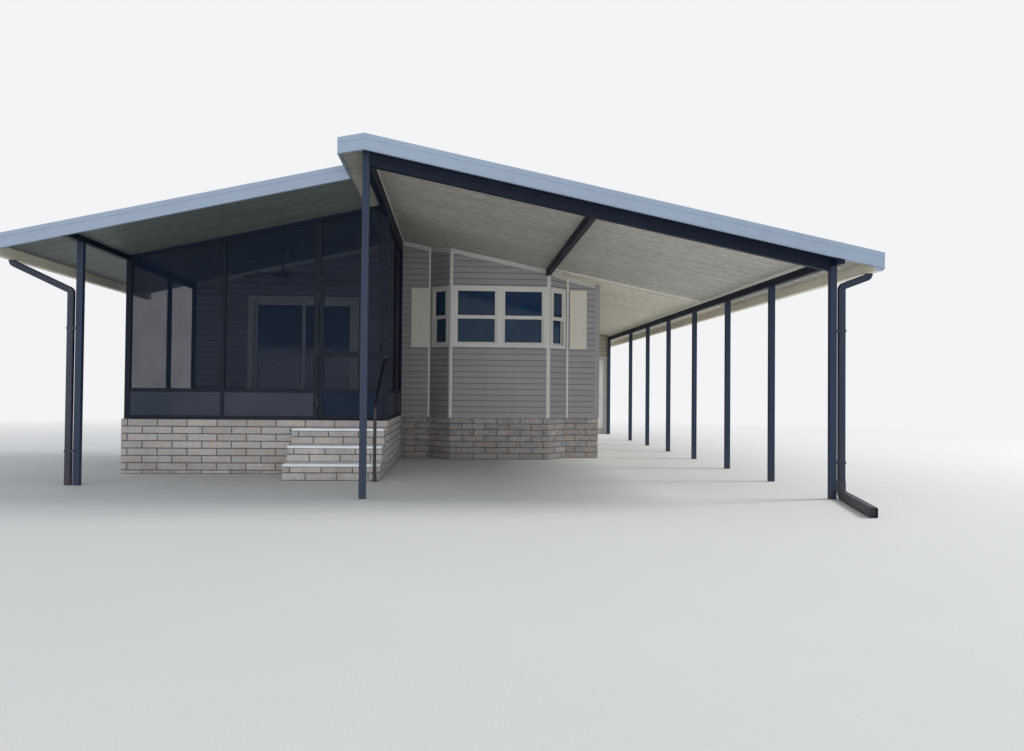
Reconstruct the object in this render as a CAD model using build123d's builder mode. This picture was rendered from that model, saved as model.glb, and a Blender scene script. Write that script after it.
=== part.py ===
"""Gabled carport roof on slim posts, with a screened porch under its left slope and the walls it is fixed to.

Frame: millimetres, origin at the foot of the front ridge post, +X to the right along the front,
+Y back towards the wall, +Z up.  Everything stands on Z = 0.
"""

import os
from math import ceil, floor, radians, sin, cos

from build123d import *

# Roof
RIDGE_Z = 3848.0  # ceiling height at the ridge line, X = 0
RIGHT_FALL = 0.203  # drop per unit of X on the right slope
LEFT_FALL = 0.228  # drop per unit of X on the left slope
PANEL = 76.0  # height of the roof pans with their seams
PAN = 305.0  # width of one pan
PAN_FLOOR = 14.0  # flat of a pan
PAN_SEAM = 34.0  # width of the raised seam between pans
PAN_GROOVE = 7.0  # joint below each seam
RIDGE_CAP = 170.0  # half width of the cap over the ridge
CAP_SHEET = 4.0
ROOF_FRONT = -243.0  # outer face of the front fascia
PORCH_ROOF_FRONT = 770.0  # outer face of the fascia over the porch
ROOF_JOINT = 4950.0  # where the strip's roof starts beside the bay
RIGHT_EAVE = 5793.0
LEFT_EAVE = -4463.0
LEG = 270.0  # how far the right roof bends down past the ridge
FASCIA = 15.0  # fascia thickness
FASCIA_DROP = 66.0  # fascia below the ceiling
FASCIA_RISE = 112.0  # fascia above the ceiling
FASCIA_STEP = 6.0  # how far the flat of the fascia lies behind its edges
FASCIA_BAND = 56.0  # raised band along the top
FASCIA_BEAD = 9.0  # bead along the bottom
FASCIA_LIP = 24.0  # lip turned back under the pans
FASCIA_COVER = 60.0  # flange turned back over the pans
FOLD_SHEET = 4.0  # thickness of the lip and flange
GUTTER_WIDTH = 110.0
GUTTER_DROP = 95.0
GUTTER_SHEET = 4.0
GUTTER_CORNER = 22.0  # flat lost to the gutter's rounded front corner
GUTTER_CORNER_RISE = 40.0
GUTTER_LIP = 14.0  # lip turned in along the gutter's outer edge
EAVE_LAP = 12.0  # roof pan past the gutter's inner wall

# Posts and beams
POST = 76.0
EDGE = 4.0  # rounded edge of posts and beams
SEAM = 5.0  # groove where the two halves of a beam meet
RIGHT_LINE = 5300.0  # centre line of the right row of posts
LEFT_LINE = -3590.0
LEFT_POST_Y = 1260.0
POST_SPACING = 1833.0
SIDE_POSTS = 6
REAR_POST_Y = 13910.0
FRONT_BEAM_DEPTH = 183.0
SIDE_BEAM_DEPTH = 122.0
MIDDLE_BEAM_DEPTH = 100.0
PORCH_BEAM_DEPTH = 60.0
MIDDLE_BEAM_X = 2600.0

# Downspouts
SPOUT_WIDTH = 78.0
SPOUT_DEPTH = 60.0
SPOUT_CORNER = 8.0
SPOUT_WALL = 5.0
SPOUT_GAP = 30.0  # between a spout and its post
SPOUT_SPLIT = 34.0  # straight outlet below the gutter
RIGHT_SPOUT_SLOPE = 0.38  # fall per unit along the slanted run
LEFT_SPOUT_SLOPE = 0.47
SPOUT_ELBOW = 45.0
STRAP = 26.0
STRAP_SHEET = 3.0
STRAP_HEIGHTS = (400.0, 1900.0)
BOOT_TOP = 205.0  # where the foot piece takes over from the spout
BOOT_WIDTH = 84.0
BOOT_DEPTH = 100.0
BOOT_ELBOW = 70.0
BOOT_LENGTH = 1450.0  # run on the ground
BOOT_TURN = 14.0  # degrees that the run turns towards the middle
MOUTH = 60.0  # depth of an open end

# Porch
PORCH_LEFT = -3617.0
PORCH_RIGHT = 45.0
PORCH_FRONT = 2649.0
PORCH_FLOOR = 760.0
FLOOR_THICKNESS = 100.0
BLOCK = 150.0
FRAME = 52.0  # screen framing section
FRAME_SETBACK = 11.0
FRAME_LEFT = -3595.0
FRAME_RIGHT = 40.0
CORNER = 76.0
KICK_TOP = 1165.0
SCREEN = 3.0
KICK_SHEET = 12.0
KICK_SETBACK = 8.0
SPLINE_NEAR = 7.0  # groove that holds the screen's edge, from the opening
SPLINE_FAR = 13.0
SPLINE_DEPTH = 4.0
DOOR_LEFT = -933.0
DOOR_RIGHT = -19.0
DOOR_JAMB = 70.0
DOOR_HEAD = 2733.0
HEADER = 86.0
MULLION_X = -2262.0
SIDE_MULLION_Y = 4330.0
MOVING_GAP = 7.0  # clearance round every leaf that moves
LEAF = 32.0
STILE = 62.0
LEAF_SETBACK = 6.0
LEAF_FOOT = 20.0  # gap under the screen door
LEAF_BOTTOM = 45.0
MID_RAIL = 70.0
MID_RAIL_Z = 1690.0
HANDLE_HEIGHT = 1000.0  # above the foot of the leaf
HANDLE_REACH = 42.0
HANDLE_BAR = 12.0
HANDLE_LENGTH = 120.0
HINGE_RADIUS = 5.0
KNUCKLE = 30.0
HINGE_STANDOFF = 6.0  # hinge axis in front of the face it is fixed to
HINGE_PLATE = 28.0
HINGE_INSET = 2.0
HINGE_FROM_END = 180.0
SEAT = 0.3  # running clearance of a hinge or runner

# Steps
STEP_LEFT = -1230.0
STEP_RIGHT = 20.0
STEPS = 3
STEP_RISE = 219.0
STEP_RUN = 290.0
TREAD = 38.0
NOSING = 15.0
BULLNOSE = 12.0
NEWEL_X = -40.0
RAIL_END_X = 4.0
NEWEL_HEIGHT = 975.0
RAIL_TOP = 1650.0
RAIL = 38.0
RAIL_BEND = 90.0
RAIL_FLANGE = 5.0

# Ceiling fan
FAN_X = -1800.0
FAN_Y = 4350.0
FAN_DROP = 400.0  # ceiling to the blades
FAN_RADIUS = 660.0
FAN_BLADES = 5
BLADE_ROOT = 62.0
BLADE_TIP = 130.0
BLADE_SHEET = 8.0
BLADE_PITCH = 12.0
FAN_ROD = 11.0
FAN_MOTOR = 95.0
MOTOR_HEIGHT = 90.0
CANOPY = 62.0
CANOPY_HEIGHT = 46.0

# Walls
WALL_FRONT = 5586.0
WALL = 120.0
HOME_RIGHT = 3572.0
SIDING_FOOT = 720.0
SKIRT_SETBACK = 14.0
BAY_LEFT = 540.0
BAY_DEPTH = 360.0
BAY_RIGHT = 2980.0
BAY_WALL = 100.0
FRIEZE = 66.0  # band under the ceiling
FRIEZE_LINE = 13.0  # its raised upper and lower lines
TRIM_SHEET = 8.0
TRIM_LINE = 14.0
CORNER_TRIM = 35.0
HOME_TRIM = 72.0
SLIDER_LEFT = -2600.0
SLIDER_RIGHT = -770.0
SLIDER_DROP = 475.0  # head of the patio door below the ceiling at its left jamb
SLIDER_RIM = 45.0
CASING = 45.0  # trim round windows and the patio door
SILL = 15.0
TRACK_SETBACK = 20.0
PANEL_THICK = 30.0
PANEL_STILE = 60.0
PANEL_OVERLAP = 60.0
PANEL_GAP = 8.0
TRACK = 4.0
RUNNER = 60.0
PULL_LENGTH = 200.0
PULL_WIDTH = 22.0
PULL_DEPTH = 5.0
WINDOW_FOOT = 2000.0
WINDOW_DROP = 263.0  # head of the bay's windows below the ceiling at its right end
WINDOW_LEFT = 980.0
WINDOW_RIGHT = 2540.0
WINDOW_FLANGE = 15.0
WINDOW_BODY = 60.0
SASH = 45.0
SASH_THICK = 25.0
CENTRE_POST = 88.0  # between the two front windows
MEETING_RAIL = 60.0
MEETING_DROP = 9.0  # meeting rail below the middle of the window
WINDOW_SILL = 30.0  # how far the sill stands out
SIDE_WINDOW_INSET = 90.0
GLASS = 6.0
SHUTTER = 302.0
SHUTTER_GAP_LEFT = 37.0
SHUTTER_GAP_RIGHT = 60.0
SHUTTER_BELOW = 40.0
SHUTTER_ABOVE = 30.0
SHUTTER_THICK = 30.0
SHUTTER_STILE = 36.0
SHUTTER_RECESS = 7.0

# Utility room at the far end
ROOM_FRONT = 13948.0
ROOM_DEPTH = 2100.0
ROOM_WALL = 100.0
ROOM_DOOR_LEFT = 4330.0
ROOM_DOOR_RIGHT = 5170.0
ROOM_DOOR_DROP = 703.0  # head of the utility room's door below the ceiling
ROOM_FLOOR = 150.0
ROOM_LEAF = 40.0
KNOB_HEIGHT = 950.0
KNOB_INSET = 65.0
KNOB = 27.0
ROOF_TAIL = 100.0  # strip roof past the room's rear wall

ROOF_BACK = WALL_FRONT + WALL
ROOM_BACK = ROOM_FRONT + ROOM_DEPTH
STRIP_BACK = ROOM_BACK + ROOF_TAIL
STRIP_LEFT = HOME_RIGHT - WALL
BAY_FACE = WALL_FRONT - BAY_DEPTH
FRAME_FRONT = PORCH_FRONT + FRAME_SETBACK
FRAME_BACK = FRAME_FRONT + FRAME
LEG_END = -LEG - FASCIA
ABOVE = RIDGE_Z + 400.0  # anywhere above the roof
OVERCUT = 10.0


def right_z(x):
    """Ceiling height on the right slope."""
    return RIDGE_Z - RIGHT_FALL * x


def left_z(x):
    """Ceiling height on the left slope, x being negative."""
    return RIDGE_Z + LEFT_FALL * x


def leg_z(x):
    """Ceiling height under the short leg left of the ridge, x being negative."""
    return RIDGE_Z + RIGHT_FALL * x


def ceiling(x):
    """Ceiling height anywhere behind the porch fascia."""
    if x >= 0:
        return right_z(x)
    if x > LEG_END:
        return leg_z(x)
    return left_z(x)


SLIDER_HEAD = left_z(SLIDER_LEFT) - SLIDER_DROP
WINDOW_HEAD = right_z(BAY_RIGHT) - WINDOW_DROP
ROOM_DOOR_HEAD = right_z(ROOM_DOOR_RIGHT) - ROOM_DOOR_DROP


def at_y(y):
    """Upright plane across the front at depth y, extruded backwards by a negative amount."""
    return Plane(origin=(0, y, 0), x_dir=(1, 0, 0), z_dir=(0, -1, 0))


def at_x(x):
    """Upright plane along the side at x, extruded to the right."""
    return Plane(origin=(x, 0, 0), x_dir=(0, 1, 0), z_dir=(1, 0, 0))


def slab_x(points, y0, y1, mode=Mode.ADD):
    """Outline in X and Z, from y0 back to y1."""
    with BuildSketch(at_y(y0)) as outline:
        with BuildLine():
            Polyline(*points, close=True)
        make_face()
    extrude(outline.sketch, amount=-(y1 - y0), mode=mode)


def slab_y(points, x0, x1, mode=Mode.ADD):
    """Outline in Y and Z, from x0 to x1."""
    with BuildSketch(at_x(x0)) as outline:
        with BuildLine():
            Polyline(*points, close=True)
        make_face()
    extrude(outline.sketch, amount=x1 - x0, mode=mode)


def slab_z(points, z0, z1, mode=Mode.ADD):
    """Outline in X and Y, from z0 up to z1."""
    with BuildSketch(Plane.XY.offset(z0)) as outline:
        with BuildLine():
            Polyline(*points, close=True)
        make_face()
    extrude(outline.sketch, amount=z1 - z0, mode=mode)


def block(x0, x1, y0, y1, z0, z1, mode=Mode.ADD):
    """Upright box between six planes."""
    with BuildSketch(Plane.XY.offset(z0)) as base:
        with Locations(((x0 + x1) / 2, (y0 + y1) / 2)):
            Rectangle(x1 - x0, y1 - y0)
    extrude(base.sketch, amount=z1 - z0, mode=mode)


def upright(x, y, z0, z1):
    """Square post with rounded edges."""
    with BuildSketch(Plane.XY.offset(z0)) as base:
        with Locations((x, y)):
            RectangleRounded(POST, POST, EDGE)
    extrude(base.sketch, amount=z1 - z0)


def turned(x, y, outline, mode=Mode.ADD):
    """Round piece about an upright axis, from an outline in radius and height."""
    with BuildSketch(Plane(origin=(x, y, 0), x_dir=(1, 0, 0), z_dir=(0, -1, 0))) as half_section:
        with BuildLine():
            Polyline(*outline, close=True)
        make_face()
    revolve(half_section.sketch, axis=Axis((x, y, 0), (0, 0, 1)), mode=mode)


def under_roof(x0, x1):
    """Roof underside from x0 to x1 as outline points, left to right."""
    breaks = [x for x in (LEG_END, 0.0) if x0 < x < x1]
    points = []
    if x0 >= LEG_END:
        points.append((x0, ceiling(x0 + 1e-6)))
    else:
        points.append((x0, left_z(x0)))
    for x in breaks:
        if x < 0:
            points.append((x, left_z(x)))
            points.append((x, leg_z(x)))
        else:
            points.append((x, RIDGE_Z))
    if x1 <= LEG_END:
        points.append((x1, left_z(x1)))
    else:
        points.append((x1, ceiling(x1)))
    return points


def wall_outline(x0, x1, foot):
    """Wall face from foot up to the roof underside."""
    return [(x0, foot)] + under_roof(x0, x1) + [(x1, foot)]


def cut_above(x0, x1, y0, y1):
    """Takes away everything above the roof underside."""
    points = under_roof(x0, x1)
    slab_x(points + [(x1, ABOVE), (x0, ABOVE)], y0, y1, Mode.SUBTRACT)


def cut_below(x0, x1, y0, y1, drop):
    """Takes away everything lower than drop under the roof underside."""
    points = [(x, z - drop) for x, z in under_roof(x0, x1)]
    slab_x([(x0, 0)] + points + [(x1, 0)], y0, y1, Mode.SUBTRACT)


def over_ridge(low, high, x_end):
    """Outline that follows the ceiling from the end of the leg over the ridge to x_end."""
    line = [(LEG_END, leg_z(LEG_END)), (0.0, RIDGE_Z), (x_end, right_z(x_end))]
    return [(x, z + low) for x, z in line] + [(x, z + high) for x, z in reversed(line)]


def down_left(low, high, x_end):
    """Outline that follows the ceiling from the leg down the left slope to x_end."""
    line = [(-LEG, left_z(-LEG)), (x_end, left_z(x_end))]
    return [(x, z + low) for x, z in line] + [(x, z + high) for x, z in reversed(line)]


def pans(x0, x1, y0, y1, z0, fall):
    """Roof pans side by side from y0 to y1, each running down the slope from x0 to x1."""
    first = ceil((y0 + PAN_SEAM - ROOF_FRONT) / PAN)
    last = floor((y1 - PAN_SEAM - ROOF_FRONT) / PAN)
    seams = [ROOF_FRONT + n * PAN for n in range(first, last + 1)]
    with BuildSketch(Plane(origin=(x0, 0, z0), x_dir=(0, 1, 0), z_dir=(1, 0, 0))) as section:
        with Locations(((y0 + y1) / 2, PAN_FLOOR / 2)):
            Rectangle(y1 - y0, PAN_FLOOR)
        with Locations(*[(y, PANEL / 2) for y in seams]):
            Rectangle(PAN_SEAM, PANEL)
        with Locations(*[(y, 0) for y in seams]):
            Rectangle(PAN_GROOVE, PAN_GROOVE, rotation=45, mode=Mode.SUBTRACT)
    run = x1 - x0
    extrude(section.sketch, amount=(1 + fall**2) ** 0.5 * abs(run), dir=(run, 0, -fall * abs(run)))


def beam_along(x, foot, top, y0, y1):
    """Beam along Y under the slope: two mated halves with rounded lower edges."""
    side = POST / 2
    mid = (foot + top[0][1]) / 2
    with BuildSketch(at_y(y0)) as section:
        with BuildLine():
            Polyline((x - side, foot), (x + side, foot), *top, close=True)
        make_face()
        fillet(section.vertices().group_by(Axis.Y)[0], radius=EDGE)
        with Locations((x - side, mid), (x + side, mid)):
            Rectangle(SEAM, SEAM, rotation=45, mode=Mode.SUBTRACT)
    extrude(section.sketch, amount=-(y1 - y0))


def hinge_knuckle(x, y, z0, z1):
    """Upright barrel of a hinge on its axis."""
    with BuildSketch(Plane.XY.offset(z0)) as round_section:
        with Locations((x, y)):
            Circle(HINGE_RADIUS)
    extrude(round_section.sketch, amount=z1 - z0)


def fixed_hinge(x, face, z):
    """Two outer knuckles and the plate screwed to the face left of the axis."""
    y = face - HINGE_STANDOFF
    for z0 in (z, z + 2 * KNUCKLE):
        hinge_knuckle(x, y, z0, z0 + KNUCKLE)
        block(x - HINGE_PLATE, x - HINGE_INSET, y + HINGE_INSET, face, z0, z0 + KNUCKLE)


def leaf_hinge(x, face, leaf_face, z):
    """Middle knuckle with the plate that carries the leaf, right of the axis."""
    y = face - HINGE_STANDOFF
    z0 = z + KNUCKLE + SEAT
    z1 = z + 2 * KNUCKLE - SEAT
    hinge_knuckle(x, y, z0, z1)
    block(x + HINGE_INSET, x + HINGE_PLATE, y, leaf_face, z0, z1)


def hinge_heights(foot, head):
    """Foot of each of three hinges on a leaf."""
    low = foot + HINGE_FROM_END
    high = head - HINGE_FROM_END - 3 * KNUCKLE
    return (low, (low + high) / 2, high)


# Roof pans
panel_end = RIGHT_EAVE - GUTTER_WIDTH + GUTTER_SHEET + EAVE_LAP
left_panel_end = LEFT_EAVE + GUTTER_WIDTH - GUTTER_SHEET - EAVE_LAP
pans_front = ROOF_FRONT + FASCIA
porch_pans_front = PORCH_ROOF_FRONT + FASCIA

with BuildPart() as carport_roof:
    pans(0, panel_end, pans_front, ROOF_BACK, RIDGE_Z, RIGHT_FALL)
    block(MIDDLE_BEAM_X, RIGHT_EAVE, ROOF_JOINT, ROOF_BACK, 0, ABOVE, Mode.SUBTRACT)
    pans(0, -LEG, pans_front, porch_pans_front, RIDGE_Z, RIGHT_FALL)
    pans(0, LEG_END, porch_pans_front, ROOF_BACK, RIDGE_Z, RIGHT_FALL)
    cap_edge = right_z(RIDGE_CAP) + PANEL
    slab_x(
        [
            (-RIDGE_CAP, cap_edge),
            (0, RIDGE_Z + PANEL),
            (RIDGE_CAP, cap_edge),
            (RIDGE_CAP, cap_edge + CAP_SHEET),
            (0, RIDGE_Z + PANEL + CAP_SHEET),
            (-RIDGE_CAP, cap_edge + CAP_SHEET),
        ],
        pans_front,
        ROOF_BACK,
    )
carport_roof.part.label = "carport_roof"

with BuildPart() as side_roof:
    pans(MIDDLE_BEAM_X, panel_end, ROOF_JOINT, STRIP_BACK, right_z(MIDDLE_BEAM_X), RIGHT_FALL)
    block(MIDDLE_BEAM_X, STRIP_LEFT, ROOF_BACK, STRIP_BACK, 0, ABOVE, Mode.SUBTRACT)
side_roof.part.label = "side_roof"

with BuildPart() as porch_roof:
    pans(LEG_END, left_panel_end, porch_pans_front, ROOF_BACK, left_z(LEG_END), LEFT_FALL)
porch_roof.part.label = "porch_roof"

# Beam heights, which the fascias and walls are cut round
half = POST / 2
beam_left = RIGHT_LINE - half
beam_right = RIGHT_LINE + half
side_beam_foot = right_z(RIGHT_LINE) - SIDE_BEAM_DEPTH
ridge_beam_foot = RIDGE_Z - FRONT_BEAM_DEPTH
porch_beam_foot = left_z(LEFT_LINE) - PORCH_BEAM_DEPTH
middle_left = MIDDLE_BEAM_X - half
middle_right = MIDDLE_BEAM_X + half
middle_beam_foot = right_z(MIDDLE_BEAM_X) - MIDDLE_BEAM_DEPTH
right_inner = RIGHT_EAVE - GUTTER_WIDTH
left_inner = LEFT_EAVE + GUTTER_WIDTH

# Fascias: a folded cover with a raised band above, a bead below, and flanges over and under the pans
with BuildPart() as front_fascia:
    flat = ROOF_FRONT + FASCIA_STEP
    slab_x(over_ridge(-FASCIA_DROP, FASCIA_RISE, RIGHT_EAVE), flat, pans_front)
    slab_x(over_ridge(FASCIA_RISE - FASCIA_BAND, FASCIA_RISE, RIGHT_EAVE), ROOF_FRONT, flat)
    slab_x(over_ridge(-FASCIA_DROP, FASCIA_BEAD - FASCIA_DROP, RIGHT_EAVE), ROOF_FRONT, flat)
    slab_x(
        over_ridge(FASCIA_RISE - FOLD_SHEET, FASCIA_RISE, RIGHT_EAVE),
        pans_front,
        pans_front + FASCIA_COVER,
    )
    slab_x(
        over_ridge(-FASCIA_DROP, FOLD_SHEET - FASCIA_DROP, right_inner),
        pans_front,
        pans_front + FASCIA_LIP,
    )
    block(beam_left, beam_right, pans_front, 0, side_beam_foot, RIDGE_Z, Mode.SUBTRACT)
    leg_foot = leg_z(LEG_END) - FASCIA_DROP
    leg_head = leg_z(LEG_END) + FASCIA_RISE
    block(LEG_END, -LEG, pans_front, PORCH_ROOF_FRONT, leg_foot, leg_head)
    for edge in front_fascia.edges().filter_by(Axis.Z).group_by(Axis.Y)[0].group_by(Axis.X)[:1]:
        chamfer(edge, length=FASCIA_STEP / 2)
front_fascia.part.label = "front_fascia"

with BuildPart() as porch_fascia:
    flat = PORCH_ROOF_FRONT + FASCIA_STEP
    slab_x(down_left(-FASCIA_DROP, FASCIA_RISE, LEFT_EAVE), flat, porch_pans_front)
    slab_x(
        down_left(FASCIA_RISE - FASCIA_BAND, FASCIA_RISE, LEFT_EAVE), PORCH_ROOF_FRONT, flat
    )
    slab_x(
        down_left(-FASCIA_DROP, FASCIA_BEAD - FASCIA_DROP, LEFT_EAVE), PORCH_ROOF_FRONT, flat
    )
    slab_x(
        down_left(-FASCIA_DROP, FOLD_SHEET - FASCIA_DROP, left_inner),
        porch_pans_front,
        porch_pans_front + FASCIA_LIP,
    )
    block(
        LEFT_LINE - half,
        LEFT_LINE + half,
        porch_pans_front,
        PORCH_FRONT,
        0,
        RIDGE_Z,
        Mode.SUBTRACT,
    )
porch_fascia.part.label = "porch_fascia"


def gutter(eave, inner, lap_end, y0, y1, height):
    """Gutter with a rounded front corner, a turned lip and end caps, open on top between them."""
    out = 1 if eave > inner else -1
    foot = height(eave) - GUTTER_DROP
    lip = height(eave) + PANEL
    start = (eave - out * GUTTER_CORNER, foot)
    bulge = (eave - out * GUTTER_CORNER / 4, foot + GUTTER_CORNER_RISE / 3)
    with BuildSketch(at_y(y0)) as outline:
        with BuildLine():
            Line((inner, foot), start)
            ThreePointArc(start, bulge, (eave, foot + GUTTER_CORNER_RISE))
            Polyline((eave, foot + GUTTER_CORNER_RISE), (eave, lip), (inner, lip), (inner, foot))
        make_face()
    with BuildSketch(at_y(y0 + GUTTER_SHEET)) as hollow:
        with BuildLine():
            Line((inner, foot), start)
            ThreePointArc(start, bulge, (eave, foot + GUTTER_CORNER_RISE))
            Polyline((eave, foot + GUTTER_CORNER_RISE), (eave, lip), (inner, lip), (inner, foot))
        make_face()
        offset(amount=-GUTTER_SHEET, kind=Kind.INTERSECTION)
    extrude(outline.sketch, amount=-(y1 - y0))
    extrude(hollow.sketch, amount=-(y1 - y0 - 2 * GUTTER_SHEET), mode=Mode.SUBTRACT)
    slab_x(
        [
            (lap_end, lip - 2 * GUTTER_SHEET),
            (eave - out * GUTTER_LIP, lip - 2 * GUTTER_SHEET),
            (eave - out * GUTTER_LIP, lip + OVERCUT),
            (lap_end, lip + OVERCUT),
        ],
        y0 + GUTTER_SHEET,
        y1 - GUTTER_SHEET,
        Mode.SUBTRACT,
    )
    slab_x(
        [
            (inner - out * OVERCUT, height(inner - out * OVERCUT)),
            (lap_end, height(lap_end)),
            (lap_end, ABOVE),
            (inner - out * OVERCUT, ABOVE),
        ],
        y0 - OVERCUT,
        y1 + OVERCUT,
        Mode.SUBTRACT,
    )


def outlet(x, y, foot):
    """Hole in a gutter's floor over its downspout."""
    side = SPOUT_WALL * 2
    block(
        x - SPOUT_WIDTH / 2 + SPOUT_WALL,
        x + SPOUT_WIDTH / 2 - SPOUT_WALL,
        y - SPOUT_DEPTH / 2 + SPOUT_WALL,
        y + SPOUT_DEPTH / 2 - SPOUT_WALL,
        foot - side,
        foot + side,
        Mode.SUBTRACT,
    )


outlet_inset = GUTTER_WIDTH - GUTTER_SHEET - SPOUT_WIDTH / 2
right_outlet_x = RIGHT_EAVE - outlet_inset
left_outlet_x = LEFT_EAVE + outlet_inset
right_spout_top = right_z(RIGHT_EAVE) - GUTTER_DROP
left_spout_top = left_z(LEFT_EAVE) - GUTTER_DROP

with BuildPart() as gutters:
    gutter(RIGHT_EAVE, right_inner, panel_end, pans_front, STRIP_BACK, right_z)
    outlet(right_outlet_x, 0, right_spout_top)
    gutter(LEFT_EAVE, left_inner, left_panel_end, porch_pans_front, ROOF_BACK, left_z)
    outlet(left_outlet_x, LEFT_POST_Y, left_spout_top)
gutters.part.label = "gutters"

# Beams
with BuildPart() as front_beam:
    drop = FRONT_BEAM_DEPTH
    with BuildSketch(
        Plane(origin=(half, 0, right_z(half)), x_dir=(0, 1, 0), z_dir=(1, 0, 0))
    ) as section:
        with Locations((0, -drop / 2)):
            Rectangle(POST, drop)
        fillet(section.vertices().group_by(Axis.Y)[0], radius=EDGE)
        with Locations((-half, -drop / 2), (half, -drop / 2)):
            Rectangle(SEAM, SEAM, rotation=45, mode=Mode.SUBTRACT)
    extrude(
        section.sketch,
        amount=(beam_left - half) * (1 + RIGHT_FALL**2) ** 0.5,
        dir=(1, 0, -RIGHT_FALL),
    )
front_beam.part.label = "front_beam"

with BuildPart() as ridge_beam:
    beam_along(
        0,
        ridge_beam_foot,
        [(half, right_z(half)), (0, RIDGE_Z), (-half, leg_z(-half))],
        half,
        WALL_FRONT,
    )
ridge_beam.part.label = "ridge_beam"

with BuildPart() as middle_beam:
    beam_along(
        MIDDLE_BEAM_X,
        middle_beam_foot,
        [(middle_right, right_z(middle_right)), (middle_left, right_z(middle_left))],
        half,
        BAY_FACE,
    )
middle_beam.part.label = "middle_beam"

with BuildPart() as side_beam:
    beam_along(
        RIGHT_LINE,
        side_beam_foot,
        [(beam_right, right_z(beam_right)), (beam_left, right_z(beam_left))],
        pans_front,
        REAR_POST_Y + half,
    )
side_beam.part.label = "side_beam"

with BuildPart() as porch_beam:
    beam_along(
        LEFT_LINE,
        porch_beam_foot,
        [(LEFT_LINE + half, left_z(LEFT_LINE + half)), (LEFT_LINE - half, left_z(LEFT_LINE - half))],
        porch_pans_front,
        WALL_FRONT,
    )
porch_beam.part.label = "porch_beam"

# Posts
with BuildPart() as front_ridge_post:
    upright(0, 0, 0, ABOVE)
    cut_above(-POST, POST, -POST, POST)
front_ridge_post.part.label = "front_ridge_post"

with BuildPart() as side_posts:
    for y in [n * POST_SPACING for n in range(SIDE_POSTS + 1)] + [REAR_POST_Y]:
        upright(RIGHT_LINE, y, 0, side_beam_foot)
side_posts.part.label = "side_posts"

with BuildPart() as porch_post:
    upright(LEFT_LINE, LEFT_POST_Y, 0, porch_beam_foot)
porch_post.part.label = "porch_post"

# Downspouts
right_spout_x = beam_right + SPOUT_GAP + SPOUT_WIDTH / 2
left_spout_x = LEFT_LINE - half - SPOUT_GAP - SPOUT_WIDTH / 2


def spout(outlet_x, top, spout_x, y, foot, slope):
    """Downspout from the gutter's outlet, slanting in to its post and down to foot."""
    elbow_z = top - SPOUT_SPLIT
    bend_z = elbow_z - slope * abs(outlet_x - spout_x)
    with BuildLine(at_y(y)) as path:
        FilletPolyline(
            (outlet_x, top),
            (outlet_x, elbow_z),
            (spout_x, bend_z),
            (spout_x, foot),
            radius=SPOUT_ELBOW,
        )
    with BuildSketch(Plane(origin=(outlet_x, y, top), z_dir=(0, 0, -1))) as section:
        Rectangle(SPOUT_WIDTH, SPOUT_DEPTH)
        chamfer(section.vertices(), length=SPOUT_CORNER)
    sweep(section.sketch, path=path.wire())


def strap(spout_x, post_x, y, z):
    """Band round a spout with its ends on the post."""
    out = 1 if spout_x > post_x else -1
    near = post_x + out * half
    far = spout_x + out * (SPOUT_WIDTH / 2 + STRAP_SHEET)
    deep = SPOUT_DEPTH / 2 + STRAP_SHEET
    block(min(near, far), max(near, far), y - deep, y + deep, z, z + STRAP)
    gap_end = spout_x - out * SPOUT_WIDTH / 2
    block(
        min(near, gap_end),
        max(near, gap_end),
        y - SPOUT_DEPTH / 2,
        y + SPOUT_DEPTH / 2,
        z,
        z + STRAP,
        Mode.SUBTRACT,
    )


turn = radians(BOOT_TURN)
run_dir = Vector(-sin(turn), -cos(turn), 0)
run_plane = Plane(
    origin=(right_spout_x, 0, 0), x_dir=run_dir, z_dir=run_dir.cross(Vector(0, 0, 1))
)
run_z = BOOT_DEPTH / 2

with BuildPart() as downspouts:
    spout(right_outlet_x, right_spout_top, right_spout_x, 0, BOOT_TOP, RIGHT_SPOUT_SLOPE)
    spout(left_outlet_x, left_spout_top, left_spout_x, LEFT_POST_Y, 0, LEFT_SPOUT_SLOPE)
    for z in STRAP_HEIGHTS:
        strap(right_spout_x, RIGHT_LINE, 0, z)
        strap(left_spout_x, LEFT_LINE, LEFT_POST_Y, z)
    with BuildLine(run_plane) as boot_path:
        FilletPolyline((0, BOOT_TOP), (0, run_z), (BOOT_LENGTH, run_z), radius=BOOT_ELBOW)
    boot_mouth = Plane(origin=(right_spout_x, 0, BOOT_TOP), x_dir=run_dir, z_dir=(0, 0, -1))
    with BuildSketch(boot_mouth) as boot_section:
        Rectangle(BOOT_DEPTH, BOOT_WIDTH)
        chamfer(boot_section.vertices(), length=SPOUT_CORNER)
    sweep(boot_section.sketch, path=boot_path.wire())
    run_end = Vector(right_spout_x, 0, run_z) + run_dir * BOOT_LENGTH
    with BuildSketch(Plane(origin=run_end, x_dir=(0, 0, 1), z_dir=run_dir)) as boot_opening:
        Rectangle(BOOT_DEPTH - 2 * SPOUT_WALL, BOOT_WIDTH - 2 * SPOUT_WALL)
        chamfer(boot_opening.vertices(), length=SPOUT_CORNER - SPOUT_WALL)
    extrude(boot_opening.sketch, amount=-MOUTH, mode=Mode.SUBTRACT)
downspouts.part.label = "downspouts"

# Porch base
with BuildPart() as front_block_wall:
    block(PORCH_LEFT, PORCH_RIGHT, PORCH_FRONT, PORCH_FRONT + BLOCK, 0, PORCH_FLOOR)
front_block_wall.part.label = "front_block_wall"

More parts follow.
